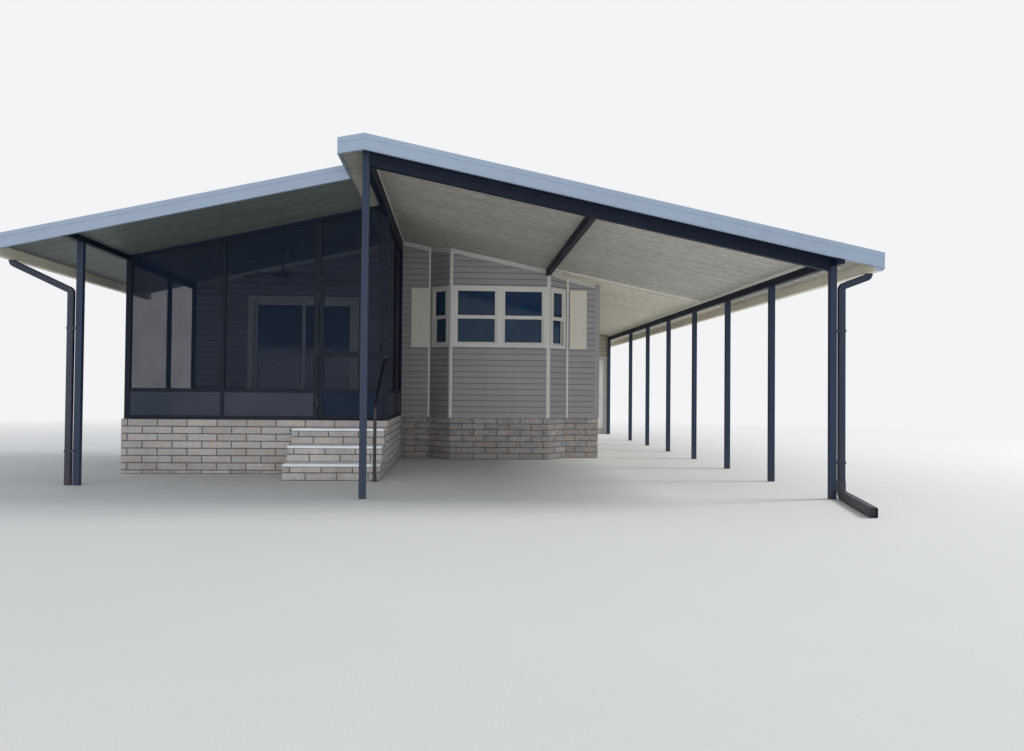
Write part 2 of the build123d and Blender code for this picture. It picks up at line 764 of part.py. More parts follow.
with BuildPart() as side_block_walls:
    block(PORCH_LEFT, PORCH_LEFT + BLOCK, PORCH_FRONT + BLOCK, WALL_FRONT, 0, PORCH_FLOOR)
    block(PORCH_RIGHT - BLOCK, PORCH_RIGHT, PORCH_FRONT + BLOCK, WALL_FRONT, 0, PORCH_FLOOR)
side_block_walls.part.label = "side_block_walls"

with BuildPart() as porch_floor:
    block(
        PORCH_LEFT + BLOCK,
        PORCH_RIGHT - BLOCK,
        PORCH_FRONT + BLOCK,
        WALL_FRONT,
        PORCH_FLOOR - FLOOR_THICKNESS,
        PORCH_FLOOR,
    )
porch_floor.part.label = "porch_floor"

# Screen framing: outline, kick panels below and insect screen above
corner_right = FRAME_LEFT + CORNER
mullion_left = MULLION_X - FRAME / 2
mullion_right = MULLION_X + FRAME / 2
jamb_left = DOOR_LEFT - DOOR_JAMB
porch_frame_top = porch_beam_foot
front_bays = ((corner_right, mullion_left), (mullion_right, jamb_left))
kick_foot = PORCH_FLOOR + FRAME
kick_head = KICK_TOP - FRAME / 2
screen_foot = KICK_TOP + FRAME / 2


def front_hole(x0, x1, foot, grow=0.0):
    """Screen opening in the front, its head following the roof."""
    left = x0 - grow
    right = x1 + grow
    return [
        (left, foot - grow),
        (right, foot - grow),
        (right, ceiling(right) - FRAME + grow),
        (left, ceiling(left) - FRAME + grow),
    ]


def front_opening(x0, x1, foot):
    """Cuts a screen opening with the groove for the screen's edge round it."""
    groove_back = FRAME_FRONT + SPLINE_DEPTH
    slab_x(front_hole(x0, x1, foot, SPLINE_FAR), FRAME_FRONT, groove_back, Mode.SUBTRACT)
    slab_x(front_hole(x0, x1, foot, SPLINE_NEAR), FRAME_FRONT, groove_back)
    slab_x(front_hole(x0, x1, foot), FRAME_FRONT, FRAME_BACK, Mode.SUBTRACT)


def side_opening(face, back, y0, y1, z0, z1):
    """Same in a side frame whose outer face is at x = face."""
    groove = SPLINE_DEPTH if back > face else -SPLINE_DEPTH
    for grow, mode in ((SPLINE_FAR, Mode.SUBTRACT), (SPLINE_NEAR, Mode.ADD)):
        x0, x1 = sorted((face, face + groove))
        block(x0, x1, y0 - grow, y1 + grow, z0 - grow, z1 + grow, mode)
    x0, x1 = sorted((face, back))
    block(x0, x1, y0, y1, z0, z1, Mode.SUBTRACT)


beam_edge = LEFT_LINE + half
with BuildPart() as front_screen_frame:
    slab_x(
        [
            (FRAME_LEFT, PORCH_FLOOR),
            (DOOR_LEFT, PORCH_FLOOR),
            (DOOR_LEFT, left_z(DOOR_LEFT)),
            (beam_edge, left_z(beam_edge)),
            (beam_edge, porch_frame_top),
            (FRAME_LEFT, porch_frame_top),
        ],
        FRAME_FRONT,
        FRAME_BACK,
    )
    for x0, x1 in front_bays:
        front_opening(x0, x1, screen_foot)
        block(x0, x1, FRAME_FRONT, FRAME_BACK, kick_foot, kick_head, Mode.SUBTRACT)
front_screen_frame.part.label = "front_screen_frame"

over_foot = DOOR_HEAD + HEADER
over_left = DOOR_LEFT + FRAME / 2
over_right = -half - FRAME
over_hole = [
    (over_left, over_foot),
    (over_right, over_foot),
    (over_right, left_z(over_right) - FRAME),
    (over_left, left_z(over_left) - FRAME),
]
with BuildPart() as over_door_frame:
    slab_x(
        [
            (DOOR_LEFT, DOOR_HEAD),
            (DOOR_RIGHT, DOOR_HEAD),
            (DOOR_RIGHT, ridge_beam_foot),
            (-half, ridge_beam_foot),
            (-half, leg_z(-half)),
            (LEG_END, leg_z(LEG_END)),
            (LEG_END, left_z(LEG_END)),
            (DOOR_LEFT, left_z(DOOR_LEFT)),
        ],
        FRAME_FRONT,
        FRAME_BACK,
    )
    slab_x(over_hole, FRAME_FRONT, FRAME_BACK, Mode.SUBTRACT)
over_door_frame.part.label = "over_door_frame"

side_mullion = (SIDE_MULLION_Y - CORNER / 2, SIDE_MULLION_Y + CORNER / 2)
side_bays = (
    (FRAME_BACK + FRAME, side_mullion[0]),
    (side_mullion[1], WALL_FRONT - FRAME),
)
right_bays = (
    (FRAME_FRONT + CORNER, side_mullion[0]),
    (side_mullion[1], WALL_FRONT - FRAME),
)
frame_left_back = FRAME_LEFT + FRAME
with BuildPart() as side_screen_frames:
    block(FRAME_LEFT, frame_left_back, FRAME_BACK, WALL_FRONT, PORCH_FLOOR, porch_frame_top)
    for y0, y1 in side_bays:
        side_opening(
            FRAME_LEFT, frame_left_back, y0, y1, screen_foot, porch_frame_top - FRAME
        )
        block(FRAME_LEFT, frame_left_back, y0, y1, kick_foot, kick_head, Mode.SUBTRACT)
    block(DOOR_RIGHT, FRAME_RIGHT, FRAME_FRONT, WALL_FRONT, PORCH_FLOOR, ridge_beam_foot)
    for y0, y1 in right_bays:
        side_opening(FRAME_RIGHT, DOOR_RIGHT, y0, y1, screen_foot, ridge_beam_foot - FRAME)
        block(DOOR_RIGHT, FRAME_RIGHT, y0, y1, kick_foot, kick_head, Mode.SUBTRACT)
side_screen_frames.part.label = "side_screen_frames"

mid_front = (FRAME_FRONT + FRAME_BACK) / 2
mid_left = FRAME_LEFT + FRAME / 2
mid_right = (DOOR_RIGHT + FRAME_RIGHT) / 2
kick_front = FRAME_FRONT + KICK_SETBACK
kick_left = FRAME_LEFT + KICK_SETBACK
kick_right = FRAME_RIGHT - KICK_SETBACK
with BuildPart() as kick_panels:
    for x0, x1 in front_bays:
        block(x0, x1, kick_front, kick_front + KICK_SHEET, kick_foot, kick_head)
    for y0, y1 in side_bays:
        block(kick_left, kick_left + KICK_SHEET, y0, y1, kick_foot, kick_head)
    for y0, y1 in right_bays:
        block(kick_right - KICK_SHEET, kick_right, y0, y1, kick_foot, kick_head)
kick_panels.part.label = "kick_panels"

near = SCREEN / 2
with BuildPart() as insect_screens:
    for x0, x1 in front_bays:
        slab_x(front_hole(x0, x1, screen_foot), mid_front - near, mid_front + near)
    slab_x(over_hole, mid_front - near, mid_front + near)
    for y0, y1 in side_bays:
        block(mid_left - near, mid_left + near, y0, y1, screen_foot, porch_frame_top - FRAME)
    for y0, y1 in right_bays:
        block(mid_right - near, mid_right + near, y0, y1, screen_foot, ridge_beam_foot - FRAME)
insect_screens.part.label = "insect_screens"

# Screen door, closed, hinged on its left edge
leaf_left = DOOR_LEFT + MOVING_GAP
leaf_right = DOOR_RIGHT - MOVING_GAP
leaf_foot = PORCH_FLOOR + LEAF_FOOT
leaf_head = DOOR_HEAD - MOVING_GAP
leaf_front = FRAME_FRONT + LEAF_SETBACK
leaf_holes = (
    (leaf_foot + LEAF_BOTTOM, KICK_TOP - FRAME / 2),
    (KICK_TOP + FRAME / 2, MID_RAIL_Z - MID_RAIL / 2),
    (MID_RAIL_Z + MID_RAIL / 2, leaf_head - STILE),
)
screen_hinge_x = DOOR_LEFT + MOVING_GAP / 2
screen_hinges = hinge_heights(leaf_foot, leaf_head)
handle_x = leaf_right - STILE / 2
handle_z = leaf_foot + HANDLE_HEIGHT
with BuildPart() as screen_door:
    block(leaf_left, leaf_right, leaf_front, leaf_front + LEAF, leaf_foot, leaf_head)
    for z in screen_hinges:
        leaf_hinge(screen_hinge_x, FRAME_FRONT, leaf_front, z)
    for n, (z0, z1) in enumerate(leaf_holes):
        x0 = leaf_left + STILE
        x1 = leaf_right - STILE
        if n > 0:
            for grow, mode in ((SPLINE_FAR, Mode.SUBTRACT), (SPLINE_NEAR, Mode.ADD)):
                block(
                    x0 - grow,
                    x1 + grow,
                    leaf_front,
                    leaf_front + SPLINE_DEPTH,
                    z0 - grow,
                    z1 + grow,
                    mode,
                )
        block(x0, x1, leaf_front, leaf_front + LEAF, z0, z1, Mode.SUBTRACT)
    grip_front = leaf_front - HANDLE_REACH
    with BuildLine(at_x(handle_x)) as grip:
        FilletPolyline(
            (leaf_front, handle_z - HANDLE_LENGTH / 2),
            (grip_front, handle_z - HANDLE_LENGTH / 2),
            (grip_front, handle_z + HANDLE_LENGTH / 2),
            (leaf_front, handle_z + HANDLE_LENGTH / 2),
            radius=HANDLE_BAR,
        )
    with BuildSketch(
        Plane(origin=(handle_x, leaf_front, handle_z - HANDLE_LENGTH / 2), z_dir=(0, -1, 0))
    ) as grip_section:
        Rectangle(HANDLE_BAR, HANDLE_BAR)
        chamfer(grip_section.vertices(), length=HANDLE_BAR / 4)
    sweep(grip_section.sketch, path=grip.wire())
screen_door.part.label = "screen_door"

leaf_mid = leaf_front + LEAF / 2
with BuildPart() as door_infill:
    for n, (z0, z1) in enumerate(leaf_holes):
        thick = KICK_SHEET if n == 0 else SCREEN
        block(
            leaf_left + STILE,
            leaf_right - STILE,
            leaf_mid - thick / 2,
            leaf_mid + thick / 2,
            z0,
            z1,
        )
door_infill.part.label = "door_infill"

with BuildPart() as screen_door_hinges:
    for z in screen_hinges:
        fixed_hinge(screen_hinge_x, FRAME_FRONT, z)
screen_door_hinges.part.label = "screen_door_hinges"

# Steps
step_front = PORCH_FRONT - STEPS * STEP_RUN
profile = [(PORCH_FRONT, 0), (step_front, 0)]
for n in range(STEPS):
    y = step_front + n * STEP_RUN
    z = (n + 1) * STEP_RISE - TREAD
    profile += [(y, z), (y + STEP_RUN, z)]
with BuildPart() as block_steps:
    slab_y(profile, STEP_LEFT, STEP_RIGHT)
block_steps.part.label = "block_steps"

with BuildPart() as step_treads:
    for n in range(STEPS):
        y = step_front + n * STEP_RUN
        z = (n + 1) * STEP_RISE
        with BuildSketch(at_x(STEP_LEFT)) as tread_section:
            with Locations((y - NOSING, z - TREAD)):
                Rectangle(NOSING + STEP_RUN, TREAD, align=(Align.MIN, Align.MIN))
            fillet(tread_section.vertices().group_by(Axis.X)[0], radius=BULLNOSE)
        extrude(tread_section.sketch, amount=STEP_RIGHT - STEP_LEFT)
step_treads.part.label = "step_treads"

# Handrail: one tube from the ground up the newel and along the slope to the screen frame
newel_y = step_front - NOSING - RAIL
rail_end = RAIL_TOP - RAIL / 2
rail_run = Vector(RAIL_END_X - NEWEL_X, FRAME_FRONT - newel_y, 0)
rail_dir = rail_run.normalized()
rail_plane = Plane(
    origin=(NEWEL_X, newel_y, 0), x_dir=rail_dir, z_dir=rail_dir.cross(Vector(0, 0, 1))
)
with BuildPart() as handrail:
    with BuildLine(rail_plane) as rail_path:
        FilletPolyline(
            (0, 0),
            (0, NEWEL_HEIGHT),
            (rail_run.length, rail_end),
            radius=RAIL_BEND,
        )
    newel_foot = Plane(origin=(NEWEL_X, newel_y, 0), x_dir=rail_dir, z_dir=(0, 0, 1))
    with BuildSketch(newel_foot) as rail_section:
        Rectangle(RAIL, RAIL)
        chamfer(rail_section.vertices(), length=EDGE)
    sweep(rail_section.sketch, path=rail_path.wire())
    block(
        RAIL_END_X - RAIL,
        RAIL_END_X + RAIL,
        FRAME_FRONT,
        FRAME_FRONT + RAIL,
        rail_end - RAIL,
        rail_end + RAIL,
        Mode.SUBTRACT,
    )
    block(
        NEWEL_X - RAIL,
        NEWEL_X + RAIL,
        newel_y - RAIL,
        newel_y + RAIL,
        0,
        RAIL_FLANGE,
    )
    block(
        RAIL_END_X - RAIL / 2,
        RAIL_END_X + RAIL / 2,
        FRAME_FRONT - RAIL_FLANGE,
        FRAME_FRONT,
        rail_end - RAIL,
        rail_end + RAIL,
    )
handrail.part.label = "handrail"

# Ceiling fan: the fixed rod and canopy, and the motor with its blades that turns below
fan_ceiling = left_z(FAN_X)
fan_z = fan_ceiling - FAN_DROP
motor_foot = fan_z - MOTOR_HEIGHT / 3
motor_head = motor_foot + MOTOR_HEIGHT
rod_foot = motor_head + SEAT
canopy_foot = fan_ceiling - CANOPY_HEIGHT
with BuildPart() as fan_mount:
    turned(
        FAN_X,
        FAN_Y,
        [
            (0, rod_foot),
            (3 * FAN_ROD, rod_foot),
            (2 * FAN_ROD, rod_foot + FAN_ROD),
            (FAN_ROD, rod_foot + 2 * FAN_ROD),
            (FAN_ROD, canopy_foot),
            (CANOPY * 0.6, canopy_foot),
            (CANOPY, fan_ceiling - CANOPY_HEIGHT / 3),
            (CANOPY, ABOVE),
            (0, ABOVE),
        ],
    )
    cut_above(FAN_X - 2 * CANOPY, FAN_X + 2 * CANOPY, FAN_Y - 2 * CANOPY, FAN_Y + 2 * CANOPY)
fan_mount.part.label = "fan_mount"

with BuildPart() as fan_blades:
    turned(
        FAN_X,
        FAN_Y,
        [
            (0, motor_foot),
            (FAN_MOTOR * 0.55, motor_foot),
            (FAN_MOTOR, motor_foot + MOTOR_HEIGHT * 0.25),
            (FAN_MOTOR, motor_foot + MOTOR_HEIGHT * 0.7),
            (FAN_MOTOR * 0.45, motor_head),
            (0, motor_head),
        ],
    )
    for n in range(FAN_BLADES):
        arm = Plane(origin=(FAN_X, FAN_Y, fan_z)).rotated((0, 0, n * 360 / FAN_BLADES))
        with BuildSketch(arm.rotated((BLADE_PITCH, 0, 0))) as blade:
            with BuildLine():
                Polyline(
                    (FAN_MOTOR * 0.6, -BLADE_ROOT / 2),
                    (FAN_RADIUS, -BLADE_TIP / 2),
                    (FAN_RADIUS, BLADE_TIP / 2),
                    (FAN_MOTOR * 0.6, BLADE_ROOT / 2),
                    close=True,
                )
            make_face()
            fillet(blade.vertices().group_by(Axis.X)[-1], radius=BLADE_TIP * 0.4)
        extrude(blade.sketch, amount=BLADE_SHEET / 2, both=True)
fan_blades.part.label = "fan_blades"

# End wall
with BuildPart() as end_wall_left:
    slab_x(wall_outline(PORCH_LEFT, SLIDER_LEFT, SIDING_FOOT), WALL_FRONT, ROOF_BACK)
end_wall_left.part.label = "end_wall_left"

with BuildPart() as over_slider_wall:
    slab_x(wall_outline(SLIDER_LEFT, SLIDER_RIGHT, SLIDER_HEAD), WALL_FRONT, ROOF_BACK)
over_slider_wall.part.label = "over_slider_wall"

with BuildPart() as end_wall_middle:
    slab_x(wall_outline(SLIDER_RIGHT, BAY_LEFT, SIDING_FOOT), WALL_FRONT, ROOF_BACK)
end_wall_middle.part.label = "end_wall_middle"

with BuildPart() as end_wall_right:
    slab_x(wall_outline(BAY_RIGHT, HOME_RIGHT, SIDING_FOOT), WALL_FRONT, ROOF_BACK)
end_wall_right.part.label = "end_wall_right"

# Bay: three flat walls with mitred corners
bay_corner_left = BAY_LEFT + BAY_DEPTH
bay_corner_right = BAY_RIGHT - BAY_DEPTH
inner_face = BAY_FACE + BAY_WALL
mitre = BAY_WALL * (2**0.5 - 1)
heel = (BAY_WALL * 2**0.5) - WALL
bay_left_outline = [
    (BAY_LEFT, WALL_FRONT),
    (bay_corner_left, BAY_FACE),
    (bay_corner_left + mitre, inner_face),
    (BAY_LEFT + heel, ROOF_BACK),
    (BAY_LEFT, ROOF_BACK),
]


def mirrored(points):
    """Plan outline of the bay's left part turned over to its right part."""
    return [(BAY_LEFT + BAY_RIGHT - x, y) for x, y in points]


bay_front_outline = [
    (bay_corner_left, BAY_FACE),
    (bay_corner_right, BAY_FACE),
    (bay_corner_right - mitre, inner_face),
    (bay_corner_left + mitre, inner_face),
]
side_length = BAY_DEPTH * 2**0.5
side_window = (SIDE_WINDOW_INSET, side_length - SIDE_WINDOW_INSET)


def bay_side_plane(right):
    """Plane in the outer face of an angled bay wall, its x running along the wall, normal outwards."""
    if right:
        return Plane(origin=(BAY_RIGHT, WALL_FRONT, 0), x_dir=(-1, -1, 0), z_dir=(1, -1, 0))
    return Plane(origin=(BAY_LEFT, WALL_FRONT, 0), x_dir=(1, -1, 0), z_dir=(-1, -1, 0))


def side_sign(right):
    """Direction of the upward axis in the plane above."""
    return 1 if bay_side_plane(right).y_dir.Z > 0 else -1


def side_box(right, s0, s1, z0, z1, d0, d1, mode=Mode.ADD):
    """Box on an angled bay wall: s along it, z up, d outwards from its face."""
    plane = bay_side_plane(right).offset(d0)
    with BuildSketch(plane) as base:
        with Locations(((s0 + s1) / 2, side_sign(right) * (z0 + z1) / 2)):
            Rectangle(s1 - s0, z1 - z0)
    extrude(base.sketch, amount=d1 - d0, mode=mode)


with BuildPart() as bay_front_wall:
    slab_z(bay_front_outline, SIDING_FOOT, ABOVE)
    cut_above(
        bay_corner_left - OVERCUT, bay_corner_right + OVERCUT, BAY_FACE - OVERCUT, ROOF_BACK
    )
    block(
        WINDOW_LEFT, WINDOW_RIGHT, BAY_FACE, inner_face, WINDOW_FOOT, WINDOW_HEAD, Mode.SUBTRACT
    )
bay_front_wall.part.label = "bay_front_wall"

with BuildPart() as bay_side_walls:
    slab_z(bay_left_outline, SIDING_FOOT, ABOVE)
    slab_z(mirrored(bay_left_outline), SIDING_FOOT, ABOVE)
    cut_above(
        BAY_LEFT - OVERCUT, BAY_RIGHT + OVERCUT, BAY_FACE - OVERCUT, ROOF_BACK + OVERCUT
    )
    for right in (False, True):
        side_box(
            right,
            side_window[0],
            side_window[1],
            WINDOW_FOOT,
            WINDOW_HEAD,
            -WALL - OVERCUT,
            OVERCUT,
            Mode.SUBTRACT,
        )
bay_side_walls.part.label = "bay_side_walls"

# Trim: a frieze with two raised lines under the ceiling, and boards on every outer corner
def trim_ribbon(thick):
    """Plan of a strip of this thickness on the faces of the end wall and bay."""
    bend = thick * (2**0.5 - 1)
    out = [
        (PORCH_LEFT, WALL_FRONT - thick),
        (BAY_LEFT - bend, WALL_FRONT - thick),
        (bay_corner_left - bend, BAY_FACE - thick),
        (bay_corner_right + bend, BAY_FACE - thick),
        (BAY_RIGHT + bend, WALL_FRONT - thick),
        (HOME_RIGHT, WALL_FRONT - thick),
    ]
    back = [
        (HOME_RIGHT, WALL_FRONT),
        (BAY_RIGHT, WALL_FRONT),
        (bay_corner_right, BAY_FACE),
        (bay_corner_left, BAY_FACE),
        (BAY_LEFT, WALL_FRONT),
        (PORCH_LEFT, WALL_FRONT),
    ]
    return out + back


def wall_band(thick, low, high):
    """Strip on the end wall and bay between two drops below the ceiling, stopped at the beams."""
    left = PORCH_LEFT - OVERCUT
    right = HOME_RIGHT + OVERCUT
    front = BAY_FACE - 2 * thick
    with BuildPart() as band:
        slab_z(trim_ribbon(thick), SIDING_FOOT, ABOVE)
        top = [(x, z - high) for x, z in under_roof(left, right)]
        slab_x(top + [(right, ABOVE), (left, ABOVE)], front, WALL_FRONT, Mode.SUBTRACT)
        cut_below(left, right, front, WALL_FRONT, low)
        for x0, x1 in (
            (left, frame_left_back),
            (-half, FRAME_RIGHT),
            (middle_left, middle_right),
        ):
            block(x0, x1, front, WALL_FRONT, 0, ABOVE, Mode.SUBTRACT)
    return band.part


bend = TRIM_SHEET * (2**0.5 - 1)
slant = CORNER_TRIM / 2**0.5
lift = TRIM_SHEET / 2**0.5
bay_corner_board = [
    (bay_corner_left + CORNER_TRIM, BAY_FACE),
    (bay_corner_left + CORNER_TRIM, BAY_FACE - TRIM_SHEET),
    (bay_corner_left - bend, BAY_FACE - TRIM_SHEET),
    (bay_corner_left - slant - lift, BAY_FACE + slant - lift),
    (bay_corner_left - slant, BAY_FACE + slant),
    (bay_corner_left, BAY_FACE),
]
bay_inner_board = [
    (BAY_LEFT - CORNER_TRIM, WALL_FRONT),
    (BAY_LEFT - CORNER_TRIM, WALL_FRONT - TRIM_SHEET),
    (BAY_LEFT - bend, WALL_FRONT - TRIM_SHEET),
    (BAY_LEFT, WALL_FRONT),
]
home_corner_board = [
    (HOME_RIGHT - HOME_TRIM, WALL_FRONT),
    (HOME_RIGHT - HOME_TRIM, WALL_FRONT - TRIM_SHEET),
    (HOME_RIGHT + TRIM_SHEET, WALL_FRONT - TRIM_SHEET),
    (HOME_RIGHT + TRIM_SHEET, WALL_FRONT + HOME_TRIM),
    (HOME_RIGHT, WALL_FRONT + HOME_TRIM),
    (HOME_RIGHT, WALL_FRONT),
]
frieze_bands = [
    wall_band(TRIM_SHEET, FRIEZE, 0),
    wall_band(TRIM_LINE, FRIEZE, FRIEZE - FRIEZE_LINE),
    wall_band(TRIM_LINE, FRIEZE_LINE, 0),
]
with BuildPart() as wall_trim:
    for board in (
        bay_corner_board,
        mirrored(bay_corner_board),
        bay_inner_board,
        mirrored(bay_inner_board),
        home_corner_board,
    ):
        slab_z(board, SIDING_FOOT, ABOVE)
    cut_above(BAY_LEFT - WALL, HOME_RIGHT + WALL, BAY_FACE - WALL, ROOF_BACK)
    block(middle_left, middle_right, BAY_FACE - WALL, BAY_FACE, middle_beam_foot, ABOVE, Mode.SUBTRACT)
    for band in frieze_bands:
        add(band)
wall_trim.part.label = "wall_trim"

# Windows: casing, centre post, and an upper sash that stands in front of the lower one
window_centre = (WINDOW_LEFT + WINDOW_RIGHT) / 2
meeting = (WINDOW_FOOT + WINDOW_HEAD) / 2 - MEETING_DROP
front_units = (
    (WINDOW_LEFT, window_centre - CENTRE_POST / 2),
    (window_centre + CENTRE_POST / 2, WINDOW_RIGHT),
)
upper_sash = (meeting - MEETING_RAIL / 2, WINDOW_HEAD)
lower_sash = (WINDOW_FOOT, meeting + MEETING_RAIL / 2)
upper_pane = (meeting + MEETING_RAIL / 2, WINDOW_HEAD - SASH)
lower_pane = (WINDOW_FOOT + SASH, meeting - MEETING_RAIL / 2)
sashes = ((upper_sash, upper_pane, 0), (lower_sash, lower_pane, SASH_THICK))
CASING_LAP = 12.0
casing_foot = WINDOW_FOOT - CASING
casing_head = WINDOW_HEAD + CASING


def front_box(x0, x1, z0, z1, d0, d1, mode=Mode.ADD):
    """Box in the bay's front window: d runs inwards from the wall face."""
    block(x0, x1, BAY_FACE + d0, BAY_FACE + d1, z0, z1, mode)


with BuildPart() as bay_window_frame:
    left = WINDOW_LEFT - CASING
    right = WINDOW_RIGHT + CASING
    front_box(left, right, casing_foot, casing_head, -WINDOW_FLANGE, 0)
    front_box(left, right, casing_foot, casing_foot + SILL, -WINDOW_SILL, 0)
    for x0, x1 in front_units:
        front_box(
            x0 + CASING_LAP,
            x1 - CASING_LAP,
            WINDOW_FOOT + CASING_LAP,
            WINDOW_HEAD - CASING_LAP,
            -WINDOW_FLANGE,
            0,
            Mode.SUBTRACT,
        )
        for (z0, z1), (p0, p1), depth in sashes:
            front_box(x0, x1, z0, z1, depth, depth + SASH_THICK)
            front_box(
                x0 + SASH, x1 - SASH, p0, p1, depth, depth + SASH_THICK, Mode.SUBTRACT
            )
    front_box(front_units[0][1], front_units[1][0], WINDOW_FOOT, WINDOW_HEAD, 0, WINDOW_BODY)
bay_window_frame.part.label = "bay_window_frame"

with BuildPart() as side_window_frames:
    s0, s1 = side_window
    for right in (False, True):
        side_box(right, s0 - CASING, s1 + CASING, casing_foot, casing_head, 0, WINDOW_FLANGE)
        side_box(
            right,
            s0 + CASING_LAP,
            s1 - CASING_LAP,
            WINDOW_FOOT + CASING_LAP,
            WINDOW_HEAD - CASING_LAP,
            0,
            WINDOW_FLANGE,
            Mode.SUBTRACT,
        )
        for (z0, z1), (p0, p1), depth in sashes:
            side_box(right, s0, s1, z0, z1, -depth - SASH_THICK, -depth)
            side_box(
                right, s0 + SASH, s1 - SASH, p0, p1, -depth - SASH_THICK, -depth, Mode.SUBTRACT
            )
side_window_frames.part.label = "side_window_frames"

with BuildPart() as window_glass:
    for _, (p0, p1), depth in sashes:
        near = depth + (SASH_THICK - GLASS) / 2
        for x0, x1 in front_units:
            front_box(x0 + SASH, x1 - SASH, p0, p1, near, near + GLASS)
        for right in (False, True):
            side_box(
                right,
                side_window[0] + SASH,
                side_window[1] - SASH,
                p0,
                p1,
                -near - GLASS,
                -near,
            )
window_glass.part.label = "window_glass"

# Shutters: two sunk panels in each
shutter_foot = WINDOW_FOOT - SHUTTER_BELOW
shutter_head = WINDOW_HEAD + SHUTTER_ABOVE
shutter_middle = (shutter_foot + shutter_head) / 2
shutter_front = WALL_FRONT - SHUTTER_THICK
shutter_lefts = (
    BAY_LEFT - SHUTTER_GAP_LEFT - SHUTTER,
    BAY_RIGHT + SHUTTER_GAP_RIGHT,
)
with BuildPart() as shutters:
    for x0 in shutter_lefts:
        x1 = x0 + SHUTTER
        block(x0, x1, shutter_front, WALL_FRONT, shutter_foot, shutter_head)
        for z0, z1 in (
            (shutter_foot + SHUTTER_STILE, shutter_middle - SHUTTER_STILE / 2),
            (shutter_middle + SHUTTER_STILE / 2, shutter_head - SHUTTER_STILE),
        ):
            block(
                x0 + SHUTTER_STILE,
                x1 - SHUTTER_STILE,
                shutter_front,
                shutter_front + SHUTTER_RECESS,
                z0,
                z1,
                Mode.SUBTRACT,
            )
shutters.part.label = "shutters"

# Patio door: frame, fixed panel and the panel that slides
track_front = WALL_FRONT + TRACK_SETBACK
slide_front = track_front + TRACK
fixed_front = slide_front + PANEL_THICK + PANEL_GAP
track_back = fixed_front + PANEL_THICK + TRACK
sill = PORCH_FLOOR + SILL
rim = SLIDER_RIM
with BuildPart() as slider_frame:
    block(SLIDER_LEFT, SLIDER_RIGHT, WALL_FRONT, track_back, SIDING_FOOT, SLIDER_HEAD)
    block(
        SLIDER_LEFT - CASING,
        SLIDER_RIGHT + CASING,
        WALL_FRONT - WINDOW_FLANGE,
        WALL_FRONT,
        PORCH_FLOOR,
        SLIDER_HEAD + CASING,
    )
    block(
        SLIDER_LEFT + rim,
        SLIDER_RIGHT - rim,
        WALL_FRONT - WINDOW_FLANGE,
        track_back,
        sill,
        SLIDER_HEAD - rim,
        Mode.SUBTRACT,
    )
slider_frame.part.label = "slider_frame"

slider_mid = (SLIDER_LEFT + SLIDER_RIGHT) / 2


def glazed(x0, x1, y0, z0, z1):
    """Door panel frame with its pane hole."""
    block(x0, x1, y0, y0 + PANEL_THICK, z0, z1)
    block(
        x0 + PANEL_STILE,
        x1 - PANEL_STILE,
        y0,
        y0 + PANEL_THICK,
        z0 + PANEL_STILE,
        z1 - PANEL_STILE,
        Mode.SUBTRACT,
    )


def pane(x0, x1, y0, z0, z1):
    """Glass of a door panel."""
    block(
        x0 + PANEL_STILE,
        x1 - PANEL_STILE,
        y0 + (PANEL_THICK - GLASS) / 2,
        y0 + (PANEL_THICK + GLASS) / 2,
        z0 + PANEL_STILE,
        z1 - PANEL_STILE,
    )


slider_top = SLIDER_HEAD - rim
fixed = (SLIDER_LEFT + rim, slider_mid + PANEL_OVERLAP / 2, fixed_front, sill, slider_top)
moving = (
    slider_mid - PANEL_OVERLAP / 2,
    SLIDER_RIGHT - rim - MOVING_GAP,
    slide_front,
    sill + MOVING_GAP,
    slider_top - MOVING_GAP,
)
with BuildPart() as fixed_panel:
    glazed(*fixed)
fixed_panel.part.label = "fixed_panel"

with BuildPart() as fixed_glass:
    pane(*fixed)
fixed_glass.part.label = "fixed_glass"

with BuildPart() as sliding_panel:
    glazed(*moving)
    runner_setback = PANEL_THICK / 3
    for x in (moving[0] + PANEL_STILE, moving[1] - PANEL_STILE - RUNNER):
        block(
            x,
            x + RUNNER,
            slide_front + runner_setback,
            slide_front + PANEL_THICK - runner_setback,
            sill + SEAT,
            sill + MOVING_GAP,
        )
    with BuildSketch(at_y(slide_front - PULL_DEPTH)) as pull:
        with Locations((moving[1] - PANEL_STILE / 2, PORCH_FLOOR + HANDLE_HEIGHT)):
            RectangleRounded(PULL_WIDTH, PULL_LENGTH, PULL_WIDTH / 3)
    extrude(pull.sketch, amount=-PULL_DEPTH)
sliding_panel.part.label = "sliding_panel"

with BuildPart() as sliding_glass:
    pane(*moving)
sliding_glass.part.label = "sliding_glass"

# Block skirting below the siding
skirt_front = WALL_FRONT + SKIRT_SETBACK
skirt_face = BAY_FACE + SKIRT_SETBACK
skirt_bend = SKIRT_SETBACK * (2**0.5 - 1)
with BuildPart() as end_skirting:
    slab_z(
        [
            (PORCH_LEFT, skirt_front),
            (BAY_LEFT + skirt_bend, skirt_front),
            (bay_corner_left + skirt_bend, skirt_face),
            (bay_corner_right - skirt_bend, skirt_face),
            (BAY_RIGHT - skirt_bend, skirt_front),
            (HOME_RIGHT - SKIRT_SETBACK, skirt_front),
            (HOME_RIGHT - SKIRT_SETBACK, ROOF_BACK),
            (BAY_RIGHT - heel, ROOF_BACK),
            (bay_corner_right - mitre, inner_face),
            (bay_corner_left + mitre, inner_face),
            (BAY_LEFT + heel, ROOF_BACK),
            (PORCH_LEFT, ROOF_BACK),
        ],
        0,
        SIDING_FOOT,
    )
end_skirting.part.label = "end_skirting"

with BuildPart() as side_skirting:
    block(STRIP_LEFT, HOME_RIGHT - SKIRT_SETBACK, ROOF_BACK, ROOM_BACK, 0, SIDING_FOOT)
side_skirting.part.label = "side_skirting"

